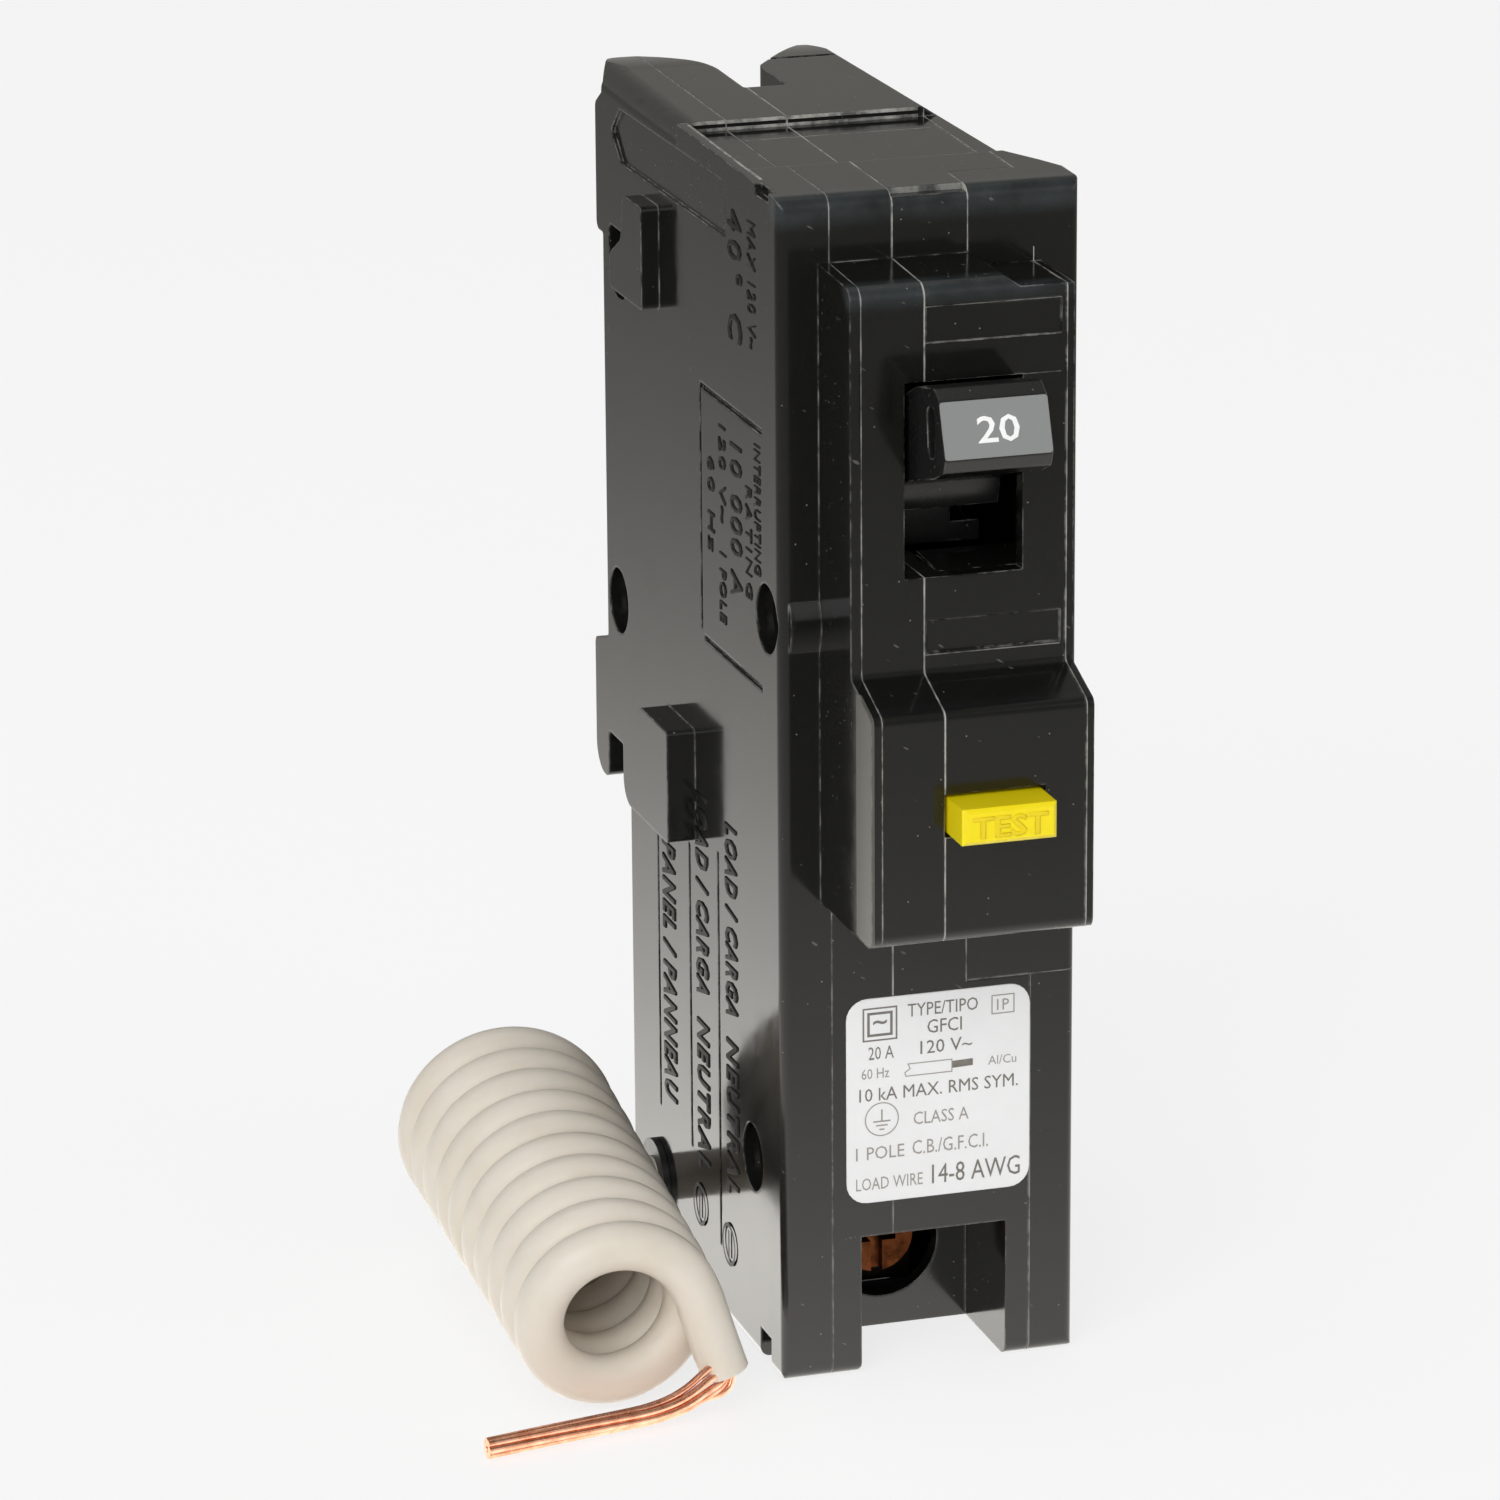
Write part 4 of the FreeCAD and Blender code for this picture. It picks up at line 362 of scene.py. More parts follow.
def moulded_polyester(name, base, rough=0.08, parted=True):
    """Glass-filled thermoset polyester, compression moulded in a polished tool.

    Deep gloss, slow waviness, pale edges (wear and painted highlight), flash at the parting lines, lint,
    painted sheen."""
    mat, tree, shader = new_material(name, IOR=1.5)
    place = object_position(tree)
    axes = add(tree, "SeparateXYZ", {0: place}).outputs
    # Slow waviness of a thick moulding, about 9 mm from crest to crest.
    waves = add(tree, "TexNoise", {"Vector": place, "Scale": 1 / (9 * MM), "Detail": 1.0, "Roughness": 0.4})
    # Mineral filler at the surface, drawn coarser than it is so that its grains show.
    grain = add(tree, "TexNoise", {"Vector": place, "Scale": 1 / (0.35 * MM), "Detail": 2.0,
                                   "Roughness": 0.6})
    smear = add(tree, "TexNoise", {"Vector": place, "Scale": 1 / (5 * MM), "Detail": 4.0, "Roughness": 0.6})
    rough_map = add(tree, "MapRange", {"Value": smear.outputs[0], "From Min": 0.35, "From Max": 0.75,
                                       "To Min": rough, "To Max": rough + 0.1})
    # Pale edges, partly rubbed wear and partly a painted highlight: where a small round-over turns away from
    # the face.
    rounded = add(tree, "Bevel", {"Radius": 0.2 * MM}, samples=4)
    geometry = add(tree, "NewGeometry")
    turn = add(tree, "VectorMath", {0: rounded.outputs[0], 1: geometry.outputs["Normal"]},
               operation="DOT_PRODUCT")
    edge = add(tree, "MapRange", {"Value": turn.outputs["Value"], "From Min": 0.96, "From Max": 0.84,
                                  "To Min": 0.0, "To Max": 0.8})
    patches = add(tree, "TexNoise", {"Vector": place, "Scale": 1 / (2.2 * MM), "Detail": 3.0,
                                     "Roughness": 0.7})
    patchy = add(tree, "MapRange", {"Value": patches.outputs[0], "From Min": 0.44, "From Max": 0.64})
    mask = add(tree, "Math", {0: edge.outputs[0], 1: patchy.outputs[0]}, operation="MULTIPLY").outputs[0]
    lint = lint_mask(tree, place)
    mask = add(tree, "Math", {0: mask, 1: lint}, operation="MAXIMUM").outputs[0]
    tone = add(tree, "Mix", {0: grain.outputs[0], 6: base, 7: shade(base, 1.5, 0.002)},
               data_type="RGBA").outputs[2]
    matt = rough_map.outputs[0]
    if parted:
        mask = add(tree, "Math", {0: mask, 1: seam_mask(tree, axes, patches.outputs[0])},
                   operation="MAXIMUM").outputs[0]
        # Painted sheen, with some handling haze: paler, bluish and duller bands along the top round-overs.
        haze_and_sheen = haze_and_sheen_mask(tree, axes, smear.outputs[0])
        tone = add(tree, "Mix", {0: haze_and_sheen, 6: tone, 7: colour("#34393b")}, data_type="RGBA").outputs[2]
        matt = add(tree, "Mix", {0: haze_and_sheen, 2: matt, 3: 0.3}).outputs[0]
        # Painted reflection: the test block's left face is painted paler and satin towards the front, where
        # it catches bright surroundings.
        up = (axes[2], at(0, 0, 41.9).z, at(0, 0, 62.0).z)
        back = (axes[1], at(0, -13.4, 0).y, at(0, -9.4, 0).y)
        painted_sheen_mask = line_mask(tree, axes[0], at(3.4, 0, 0).x, 0.25 * MM, (up, back))
        tone = add(tree, "Mix", {0: painted_sheen_mask, 6: tone, 7: colour("#585750")}, data_type="RGBA").outputs[2]
        matt = add(tree, "Mix", {0: painted_sheen_mask, 2: matt, 3: 0.28}).outputs[0]
    pale = add(tree, "Mix", {0: mask, 6: tone, 7: colour("#b4b3ad")}, data_type="RGBA")
    tree.links.new(pale.outputs[2], shader.inputs["Base Color"])
    dull = add(tree, "Mix", {0: mask, 2: matt, 3: 0.6})
    tree.links.new(dull.outputs[0], shader.inputs["Roughness"])
    height = add(tree, "Math", {0: waves.outputs[0], 1: 0.05}, operation="MULTIPLY")
    total = add(tree, "Math", {0: grain.outputs[0], 1: 0.0006, 2: height.outputs[0]},
                operation="MULTIPLY_ADD")
    soft = add(tree, "Bevel", {"Radius": 0.3 * MM}, samples=4)
    bump = add(tree, "Bump", {"Strength": 0.12, "Distance": 0.3 * MM, "Height": total.outputs[0],
                              "Normal": soft.outputs[0]})
    tree.links.new(bump.outputs[0], shader.inputs["Normal"])
    return mat


def moulded_letters(name, base):
    """Letters raised from a spark-textured part of the tool: matt, darker than the polished face around."""
    mat, tree, shader = new_material(name, IOR=1.4)
    place = object_position(tree)
    pits = add(tree, "TexNoise", {"Vector": place, "Scale": 1 / (0.15 * MM), "Detail": 2.0})
    tone = add(tree, "Mix", {0: pits.outputs[0], 6: base, 7: shade(base, 0.4)}, data_type="RGBA")
    tree.links.new(tone.outputs[2], shader.inputs["Base Color"])
    spread = add(tree, "MapRange", {"Value": pits.outputs[0], "To Min": 0.35, "To Max": 0.7})
    tree.links.new(spread.outputs[0], shader.inputs["Roughness"])
    bump = add(tree, "Bump", {"Strength": 0.3, "Distance": 0.03 * MM, "Height": pits.outputs[0]})
    tree.links.new(bump.outputs[0], shader.inputs["Normal"])
    return mat


def moulded_nylon(name, base, rough=0.35, ior=1.5):
    """Injection-moulded nylon with a fine spark texture: even satin, a little light carried inside."""
    mat, tree, shader = new_material(name, IOR=ior, Base_Color=base, Subsurface_Weight=0.15,
                                     Subsurface_Scale=0.8 * MM)
    shader.inputs["Subsurface Radius"].default_value = (1.0, 0.55, 0.15)
    place = object_position(tree)
    # Spark-eroded tool texture, about 0.2 mm from pit to pit.
    pits = add(tree, "TexNoise", {"Vector": place, "Scale": 1 / (0.2 * MM), "Detail": 2.0})
    patches = add(tree, "TexNoise", {"Vector": place, "Scale": 1 / (4 * MM), "Detail": 3.0})
    spread = add(tree, "MapRange", {"Value": patches.outputs[0], "From Min": 0.3, "From Max": 0.7,
                                    "To Min": rough - 0.05, "To Max": rough + 0.08})
    tree.links.new(spread.outputs[0], shader.inputs["Roughness"])
    soft = add(tree, "Bevel", {"Radius": 0.15 * MM}, samples=4)
    bump = add(tree, "Bump", {"Strength": 0.15, "Distance": 0.02 * MM, "Height": pits.outputs[0],
                              "Normal": soft.outputs[0]})
    tree.links.new(bump.outputs[0], shader.inputs["Normal"])
    return mat


def worked_metal(name, tint, rough, grain_mm=0.15, dark=None):
    """Bare or plated metal, rolled or drawn: fine lines along one way and a little tarnish in patches."""
    mat, tree, shader = new_material(name, Metallic=1.0)
    place = object_position(tree)
    stretched = add(tree, "VectorMath", {0: place, 1: (1.0, 1.0, 0.08)}, operation="MULTIPLY")
    lines = add(tree, "TexNoise", {"Vector": stretched.outputs[0], "Scale": 1 / (grain_mm * MM),
                                   "Detail": 3.0})
    tarnish = add(tree, "TexNoise", {"Vector": place, "Scale": 1 / (1.5 * MM), "Detail": 4.0,
                                     "Roughness": 0.65})
    share = add(tree, "MapRange", {"Value": tarnish.outputs[0], "From Min": 0.4, "From Max": 0.75})
    tone = add(tree, "Mix", {0: share.outputs[0], 6: tint, 7: dark or shade(tint, 0.45)}, data_type="RGBA")
    tree.links.new(tone.outputs[2], shader.inputs["Base Color"])
    spread = add(tree, "MapRange", {"Value": lines.outputs[0], "To Min": rough - 0.08,
                                    "To Max": rough + 0.12})
    tree.links.new(spread.outputs[0], shader.inputs["Roughness"])
    bump = add(tree, "Bump", {"Strength": 0.2, "Distance": 0.02 * MM, "Height": lines.outputs[0]})
    tree.links.new(bump.outputs[0], shader.inputs["Normal"])
    return mat


def extruded_vinyl(name, base):
    """Extruded PVC insulation: soft sheen, fine skin, a little light carried inside, grime in patches."""
    mat, tree, shader = new_material(name, IOR=1.46, Subsurface_Weight=0.12, Subsurface_Scale=0.6 * MM)
    shader.inputs["Subsurface Radius"].default_value = (1.0, 0.75, 0.5)
    place = object_position(tree)
    grime = add(tree, "TexNoise", {"Vector": place, "Scale": 1 / (6 * MM), "Detail": 4.0, "Roughness": 0.6})
    share = add(tree, "MapRange", {"Value": grime.outputs[0], "From Min": 0.45, "From Max": 0.8,
                                   "To Max": 0.35})
    tone = add(tree, "Mix", {0: share.outputs[0], 6: base, 7: colour("#cdbfa6")}, data_type="RGBA")
    tree.links.new(tone.outputs[2], shader.inputs["Base Color"])
    skin = add(tree, "TexNoise", {"Vector": place, "Scale": 1 / (0.3 * MM), "Detail": 2.0})
    spread = add(tree, "MapRange", {"Value": skin.outputs[0], "To Min": 0.34, "To Max": 0.5})
    tree.links.new(spread.outputs[0], shader.inputs["Roughness"])
    bump = add(tree, "Bump", {"Strength": 0.1, "Distance": 0.03 * MM, "Height": skin.outputs[0]})
    tree.links.new(bump.outputs[0], shader.inputs["Normal"])
    return mat


def printed_ink(name, tone, rough=0.5):
    """Printed or stamped ink: a flat film, slightly uneven in density."""
    mat, tree, shader = new_material(name, IOR=1.45, Roughness=rough)
    place = object_position(tree)
    density = add(tree, "TexNoise", {"Vector": place, "Scale": 1 / (0.5 * MM), "Detail": 2.0})
    lighter = shade(tone, 1.35, 0.02)
    mixed = add(tree, "Mix", {0: density.outputs[0], 6: tone, 7: lighter}, data_type="RGBA")
    tree.links.new(mixed.outputs[2], shader.inputs["Base Color"])
    return mat


def coated_film(name, base, rough=0.35):
    """Coated plastic film, as on a label or a hot-stamped stripe: smooth, faintly wavy, a few dull spots."""
    mat, tree, shader = new_material(name, IOR=1.48)
    place = object_position(tree)
    cast = add(tree, "TexNoise", {"Vector": place, "Scale": 1 / (3 * MM), "Detail": 3.0})
    tone = add(tree, "Mix", {0: cast.outputs[0], 6: base, 7: shade(base, 0.94)}, data_type="RGBA")
    tree.links.new(tone.outputs[2], shader.inputs["Base Color"])
    spread = add(tree, "MapRange", {"Value": cast.outputs[0], "To Min": rough - 0.08, "To Max": rough + 0.1})
    tree.links.new(spread.outputs[0], shader.inputs["Roughness"])
    bump = add(tree, "Bump", {"Strength": 0.1, "Distance": 0.05 * MM, "Height": cast.outputs[0]})
    tree.links.new(bump.outputs[0], shader.inputs["Normal"])
    return mat


def plain_laminate(name, base, rough=0.4):
    """Epoxy, fibre and wound tape inside: matt with a fine woven mottle."""
    mat, tree, shader = new_material(name, IOR=1.5, Roughness=rough)
    place = object_position(tree)
    weave = add(tree, "TexWave", {"Vector": place, "Scale": 1 / (0.6 * MM), "Distortion": 1.0},
                bands_direction="DIAGONAL")
    tone = add(tree, "Mix", {0: weave.outputs[1], 6: base, 7: shade(base, 0.8)}, data_type="RGBA")
    tree.links.new(tone.outputs[2], shader.inputs["Base Color"])
    return mat


# ------------------------------------------------------------------ flat artwork and moulded words
def on_face(origin, across, up):
    """Matrix that lays artwork on a face: x across, y up, z out of the face, in millimetres."""
    across, up = Vector(across).normalized(), Vector(up).normalized()
    turn = Matrix((across, up, across.cross(up))).transposed().to_4x4()
    return Matrix.Translation(origin) @ turn @ Matrix.Scale(MM, 4)


def word(bm, text, place, x, y, width, height, depth=0.0, spacing=1.0, weight=0.0):
    """Adds a word with its lower left corner at x, y.

    Height is that of a capital, and weight thickens the strokes."""
    def solid(body, thick, soft):
        data = bpy.data.curves.new("word", "FONT")
        data.body = body
        data.space_character = spacing
        data.resolution_u = 2
        data.extrude = thick / 2
        data.bevel_depth = soft
        data.offset = weight - soft
        data.bevel_resolution = 0
        obj = bpy.data.objects.new("word", data)
        mesh = bpy.data.meshes.new_from_object(obj)
        bpy.data.objects.remove(obj)
        bpy.data.curves.remove(data)
        return mesh

    plain = solid("H", 0.0, 0.0)
    scale = height / max(v.co.y for v in plain.vertices)
    bpy.data.meshes.remove(plain)
    soft = min(0.03, depth / scale * 0.3)
    mesh = solid(text, max(0.0, depth / scale - 2 * soft), soft)
    left = min(v.co.x for v in mesh.vertices)
    right = max(v.co.x for v in mesh.vertices)
    for v in mesh.vertices:
        across = x + (v.co.x - left) * width / (right - left)
        v.co = place @ Vector((across, y + v.co.y * scale, v.co.z * scale))
    bm.from_mesh(mesh)
    bpy.data.meshes.remove(mesh)


def outline(bm, place, points, line=0.0):
    """Adds a flat filled shape, or its outline of a given line width."""
    rim = [bm.verts.new(place @ Vector((x, y, 0))) for x, y in points]
    if not line:
        bm.faces.new(rim)
        return
    inner = []
    for i, (x, y) in enumerate(points):
        (ax, ay), (bx, by) = points[i - 1], points[(i + 1) % len(points)]
        before, after = Vector((x - ax, y - ay)).normalized(), Vector((bx - x, by - y)).normalized()
        inward = Vector((-before.y - after.y, before.x + after.x)) / (1 + before.dot(after))
        inner.append(bm.verts.new(place @ Vector((x + inward.x * line, y + inward.y * line, 0))))
    for i in range(len(points)):
        k = (i + 1) % len(points)
        bm.faces.new((rim[i], rim[k], inner[k], inner[i]))


def rounded(left, low, right, high, radius, steps=6):
    """Corner points of a rounded rectangle, counter-clockwise."""
    points = []
    for x, y, turn in ((right - radius, low + radius, -90), (right - radius, high - radius, 0),
                       (left + radius, high - radius, 90), (left + radius, low + radius, 180)):
        for i in range(steps + 1):
            angle = math.radians(turn + 90 * i / steps)
            points.append((x + radius * math.cos(angle), y + radius * math.sin(angle)))
    return points


def ring_points(x, y, radius, steps=32):
    """Points round a circle, counter-clockwise."""
    return [(x + radius * math.cos(2 * math.pi * i / steps), y + radius * math.sin(2 * math.pi * i / steps))
            for i in range(steps)]


def film(name, place, points, thickness):
    """Thin sheet with its back on the face and its front edge chamfered."""
    bm = bmesh.new()
    soft = thickness * 0.5
    rings = []
    for inset, height in ((0.0, 0.0), (0.0, thickness - soft), (soft, thickness)):
        centre = [sum(p[k] for p in points) / len(points) for k in (0, 1)]
        rings.append([])
        for px, py in points:
            away = Vector((px - centre[0], py - centre[1]))
            spot = Vector((px, py)) - away.normalized() * inset
            rings[-1].append(bm.verts.new(place @ Vector((spot.x, spot.y, height))))
    for low, high in zip(rings, rings[1:]):
        for i in range(len(points)):
            k = (i + 1) % len(points)
            bm.faces.new((low[i], low[k], high[k], high[i]))
    bm.faces.new(rings[-1])
    bm.faces.new(reversed(rings[0]))
    return piece_of(name, bm)


def piece_of(name, bm):
    """New object from finished artwork."""
    mesh = bpy.data.meshes.new(name)
    bm.to_mesh(mesh)
    bm.free()
    obj = bpy.data.objects.new(name, mesh)
    bpy.context.collection.objects.link(obj)
    return obj


class CASE_OT_build(bpy.types.Operator):
    """Finish on the four mouldings of the case, their rivets and the words moulded in the left side"""
    bl_idname = "breaker.case"
    bl_label = "Case"

    def execute(self, context):
        colours = context.scene.breaker_colours
        black = moulded_polyester("moulded_black_polyester", list(colours.case))
        for name in ("side_cover", "electronics_case", "mechanism_case", "mechanism_cover"):
            dress(name, black)
        dress("case_rivets", worked_metal("zinc_plated_rivet_steel", colour("#5c5a56"), 0.4))
        words = self.side_words(context.scene.breaker_lettering.relief / MM)
        finish_piece(words, moulded_letters("moulded_black_letters", colour("#161615")), "case")
        return {"FINISHED"}

    def side_words(self, relief):
        """Words that read downwards on the left side, their tops towards the front."""
        bm = bmesh.new()
        # Text, baseline's depth, height where it starts and ends, capital height, spacing, weight.
        rows = (
            ("40° C", 13.2, 97.0, 86.1, 3.4, 1.3, 0.01), ("MAX 120 V~", 7.9, 97.0, 86.5, 1.9, 1.1, 0.0),
            ("INTERRUPTING", 6.5, 78.9, 68.0, 1.5, 1.1, 0.0), ("RATING", 8.9, 74.8, 65.4, 1.5, 1.3, 0.0),
            ("10 000 A", 13.0, 77.5, 64.5, 2.9, 1.15, 0.01), ("120 V~", 16.2, 78.2, 69.9, 1.6, 1.15, 0.01),
            ("1 POLE", 16.2, 67.4, 61.4, 1.6, 1.1, 0.01), ("60 Hz", 19.4, 74.8, 66.7, 1.6, 1.2, 0.01),
            ("LOAD / CARGA", 15.3, 44.3, 27.4, 3.0, 1.2, 0.035),
            ("NEUTRAL", 15.3, 25.4, 11.6, 3.0, 1.25, 0.035),
            ("LOAD / CARGA", 23.8, 44.6, 26.6, 3.2, 1.2, 0.035),
            ("NEUTRAL", 23.8, 24.4, 11.0, 3.2, 1.25, 0.035),
            ("PANEL / PANNEAU", 33.7, 37.3, 14.2, 3.4, 1.2, 0.035),
        )
        for text, base, start, end, height, spacing, weight in rows:
            face = on_face(at(0, base, start), (0, 0, -1), (0, -1, 0))
            word(bm, text, face, 0, 0, start - end, height, relief * 2, spacing, weight)
        # Terminal marks: a ring with a bar, below each column.
        for y, z in ((15.0, 6.9), (23.5, 7.5)):
            face = on_face(at(-relief, y, z), (0, 0, -1), (0, -1, 0))
            outline(bm, face, ring_points(0, 0, 1.9), 0.35)
            outline(bm, face, [(-1.3, -0.2), (1.3, -0.2), (1.3, 0.2), (-1.3, 0.2)])
        return piece_of("side_words", bm)


class LABEL_OT_build(bpy.types.Operator):
    """Rating label on the lower front, with its printing"""
    bl_idname = "breaker.label"
    bl_label = "Rating label"

    def execute(self, context):
        left, low, right, high = 5.5, 15.1, 21.45, 32.9
        face = on_face(at(0, 0, 0), (1, 0, 0), (0, 0, 1))
        thick = 0.1
        sheet = film("rating_label", face, rounded(left, low, right, high, 1.8), thick)
        white = coated_film("coated_white_label", list(context.scene.breaker_colours.label), 0.45)
        finish_piece(sheet, white, "case")
        print_face = on_face(at(0, -thick - INK_GAP, 0), (1, 0, 0), (0, 0, 1))
        bold = bmesh.new()
        for text, x, y, width, height in (
                ("TYPE/TIPO", 10.8, 31.0, 6.1, 1.1), ("GFCI", 12.5, 29.4, 3.0, 1.15),
                ("120 V~", 11.9, 27.65, 4.5, 1.12), ("20 A", 7.4, 27.6, 2.2, 1.1),
                ("10 kA MAX. RMS SYM.", 6.6, 24.0, 13.8, 1.1), ("14-8 AWG", 12.9, 16.2, 7.7, 1.65)):
            word(bold, text, print_face, x, y, width, height)
        # Sine sign in a double frame, and the strip gauge's conductor.
        outline(bold, print_face, [(6.9, 29.2), (9.9, 29.2), (9.9, 32.1), (6.9, 32.1)], 0.14)
        outline(bold, print_face, [(7.3, 29.6), (9.5, 29.6), (9.5, 31.7), (7.3, 31.7)], 0.22)
        word(bold, "~", print_face, 7.8, 30.3, 1.2, 1.3, weight=0.02)
        outline(bold, print_face, [(14.68, 26.14), (16.46, 26.2), (16.46, 26.8), (14.68, 26.75)])
        ink = printed_ink("screen_printed_grey_ink", colour("#6f6a64"))
        finish_piece(piece_of("label_print_bold", bold), ink, "case")
        light = bmesh.new()
        for text, x, y, width, height in (
                ("60 Hz", 6.8, 25.96, 2.4, 0.87), ("Al/Cu", 17.8, 26.07, 2.45, 0.75),
                ("CLASS A", 11.3, 21.55, 4.8, 1.08), ("1 POLE", 6.3, 18.9, 4.2, 1.1),
                ("C.B./G.F.C.I.", 11.2, 18.95, 6.6, 1.2), ("LOAD WIRE", 6.3, 16.25, 5.8, 1.05),
                ("1P", 18.55, 30.75, 1.05, 0.95)):
            word(light, text, print_face, x, y, width, height)
        outline(light, print_face, [(18.07, 30.42), (20.08, 30.42), (20.08, 32.1), (18.07, 32.1)], 0.1)
        # Strip gauge's torn sleeve.
        outline(light, print_face, [(10.6, 25.81), (14.68, 25.81), (14.68, 26.95), (10.75, 26.95),
                                    (10.95, 26.5), (10.5, 26.2)], 0.09)
        # Earth sign in a ring.
        outline(light, print_face, ring_points(8.55, 22.35, 1.48), 0.1)
        for low_edge, half in ((22.1, 0.75), (21.75, 0.5), (21.4, 0.22)):
            outline(light, print_face, [(8.55 - half, low_edge), (8.55 + half, low_edge),
                                        (8.55 + half, low_edge + 0.13), (8.55 - half, low_edge + 0.13)])
        outline(light, print_face, [(8.48, 22.2), (8.62, 22.2), (8.62, 23.2), (8.48, 23.2)])
        thin = printed_ink("screen_printed_light_ink", colour("#948e88"))
        finish_piece(piece_of("label_print_light", light), thin, "case")
        return {"FINISHED"}


class HANDLE_OT_build(bpy.types.Operator):
    """Finish on the handle and the stamped stripe with its number"""
    bl_idname = "breaker.handle"
    bl_label = "Handle"

    def execute(self, context):
        black = moulded_polyester("moulded_black_handle", list(colour("#151515")), rough=0.22, parted=False)
        dress("handle", black)
        # Foot and top of the stripe, as depth and height on the front of the handle.
        low, high = Vector((-16.7, 82.3)), Vector((-15.1, 86.7))
        slope = (high - low).normalized()
        lift, thick = 0.03, 0.03
        out = Vector((-slope.y, slope.x)) * lift
        face = on_face(at(8.4, low.x + out.x, low.y + out.y), (1, 0, 0), (0, slope.x, slope.y))
        length = (high - low).length
        stripe = film("handle_stripe", face, rounded(0.0, 0.05, 8.9, length - 0.05, 0.25), thick)
        foil = coated_film("hot_stamped_grey_foil", colour("#8c8e8d"), 0.3)
        finish_piece(stripe, foil, "handle")
        raised = bmesh.new()
        number_face = face @ Matrix.Translation((0, 0, thick + INK_GAP))
        word(raised, context.scene.breaker_lettering.rating, number_face, 2.85, 1.25, 3.5, 2.05, weight=0.012)
        white = printed_ink("hot_stamped_white", colour("#f0f0ee"), 0.4)
        finish_piece(piece_of("handle_number", raised), white, "handle")
        return {"FINISHED"}


class BUTTON_OT_build(bpy.types.Operator):
    """Finish on the test button and its raised word"""
    bl_idname = "breaker.button"
    bl_label = "Test button"

    def execute(self, context):
        yellow = moulded_nylon("moulded_yellow_nylon", list(context.scene.breaker_colours.button), rough=0.3)
        dress("test_button", yellow)
        lettering = context.scene.breaker_lettering
        bm = bmesh.new()
        face = on_face(at(10.55, -BUTTON_REACH, 51.4), (1, 0, 0), (0, 0, 1))
        word(bm, lettering.button, face, 0, 0, 6.4, 1.75, 2 * lettering.relief / MM, weight=0.03)
        # Painted shade: the raised word is a darker, more orange copy of the button's yellow.
        shaded = [c * f for c, f in zip(context.scene.breaker_colours.button[:3], (0.93, 0.86, 0.8))] + [1.0]
        finish_piece(piece_of("button_word", bm), moulded_nylon("moulded_yellow_word_shaded", shaded, rough=0.36),
                     "button")
        return {"FINISHED"}


class INSIDE_OT_build(bpy.types.Operator):
    """Finishes on the pieces inside the case and on the pigtail's bushing"""
    bl_idname = "breaker.inside"
    bl_label = "Inside pieces"

    def execute(self, context):
        copper = worked_metal("rolled_copper", colour("#e08a63"), 0.3, dark=colour("#9c5233"))
        steel = worked_metal("zinc_plated_steel", colour("#b9bab8"), 0.3)
        finishes = {
            copper: ("test_contact", "line_jaw", "contact_arm", "load_strap", "braid", "solenoid_coil"),
            steel: ("test_spring", "toggle_spring", "cradle", "arc_plates", "magnet_yoke", "armature",
                    "armature_pin", "solenoid_frame", "solenoid_plunger"),
            worked_metal("silver_contact_alloy", colour("#d9d9d4"), 0.25): (
                "fixed_contact", "moving_contact"),
            worked_metal("rolled_bimetal", colour("#8f8a80"), 0.4): ("bimetal",),
            # Painted shade: the load lug and its screw sit in the dark terminal slot and get dark tones that
            # stand in for its shade.
            worked_metal("tin_plate_painted_dark", colour("#2f2b27"), 0.45): ("load_lug",),
            worked_metal("brass_screw_painted_dark", colour("#57301a"), 0.36, dark=colour("#0f0804")): (
                "load_screw",),
            worked_metal("plated_brass", colour("#d0a860"), 0.35): ("neutral_terminal", "neutral_screw"),
            plain_laminate("glass_epoxy_board", colour("#1d5a2c")): ("circuit_board",),
            plain_laminate("dipped_epoxy", colour("#2a4a7d")): ("varistor",),
            plain_laminate("vulcanised_fibre", colour("#9a8a70")): ("arc_chute",),
            plain_laminate("wound_core_tape", colour("#2b2b2b")): (
                "board_parts", "fault_sensor", "neutral_sensor"),
            moulded_nylon("moulded_white_nylon", colour("#dddccf")): ("trip_bar",),
            moulded_nylon("moulded_black_bushing", colour("#161616")): ("pigtail_grommet",),
        }
        for mat, names in finishes.items():
            for name in names:
                dress(name, mat)
        # Painted shade: a black piece standing in for the shade inside the wire hole.
        # Low rib under the front of the load lug. It only closes the view through the wire hole to the floor.
        low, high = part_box("load_lug")
        width, gap, thick = (high[0] - low[0]) / MM, (low[2] - UNDERSIDE) / MM - WALL, 0.4
        face = on_face(Vector((low[0], low[1] + thick * MM, low[2] - gap * MM)), (1, 0, 0), (0, 0, 1))
        rib = film("lug_shade_rib", face, rounded(0, 0, width, gap, 0.2), thick)
        finish_piece(rib, moulded_nylon("black_shade_rib", colour("#161616")), "case")
        return {"FINISHED"}


# ------------------------------------------------------------------ pigtail
# The wire's straight stretch and its wound tube, as the solids have them.
COIL_LENGTH = 36.5
COIL_PITCH = 4.06
MEAN_FRONT = 6.5
MEAN_REAR = 7.45
REAR_CENTRE = at(-14.33, 33.3, 12.65)
FRONT_CENTRE = at(-14.95, -3.003, 8.85)
TAIL_ANGLE = 18.0
TAIL_LENGTH = 7.4
TAIL_LEAD = 0.2              # the tail leaves the turns ahead of their front centre, by this share of a pitch
TAIL_LEAN = 0.16             # how far it leans forwards for each unit that it runs across the axis
COPPER_CORE = 0.8            # how far the strands start inside the insulation
COPPER_DROP = 2.5            # corner where they fold over, this far past the cut
NEAR_CORNER = 2.9            # first point past either end of the turns, about as far off as their own
COPPER_POINTS = ((-9.6, -6.3, 1.35), (-17.8, -7.0, 1.5), (-27.9, -8.9, 1.3))


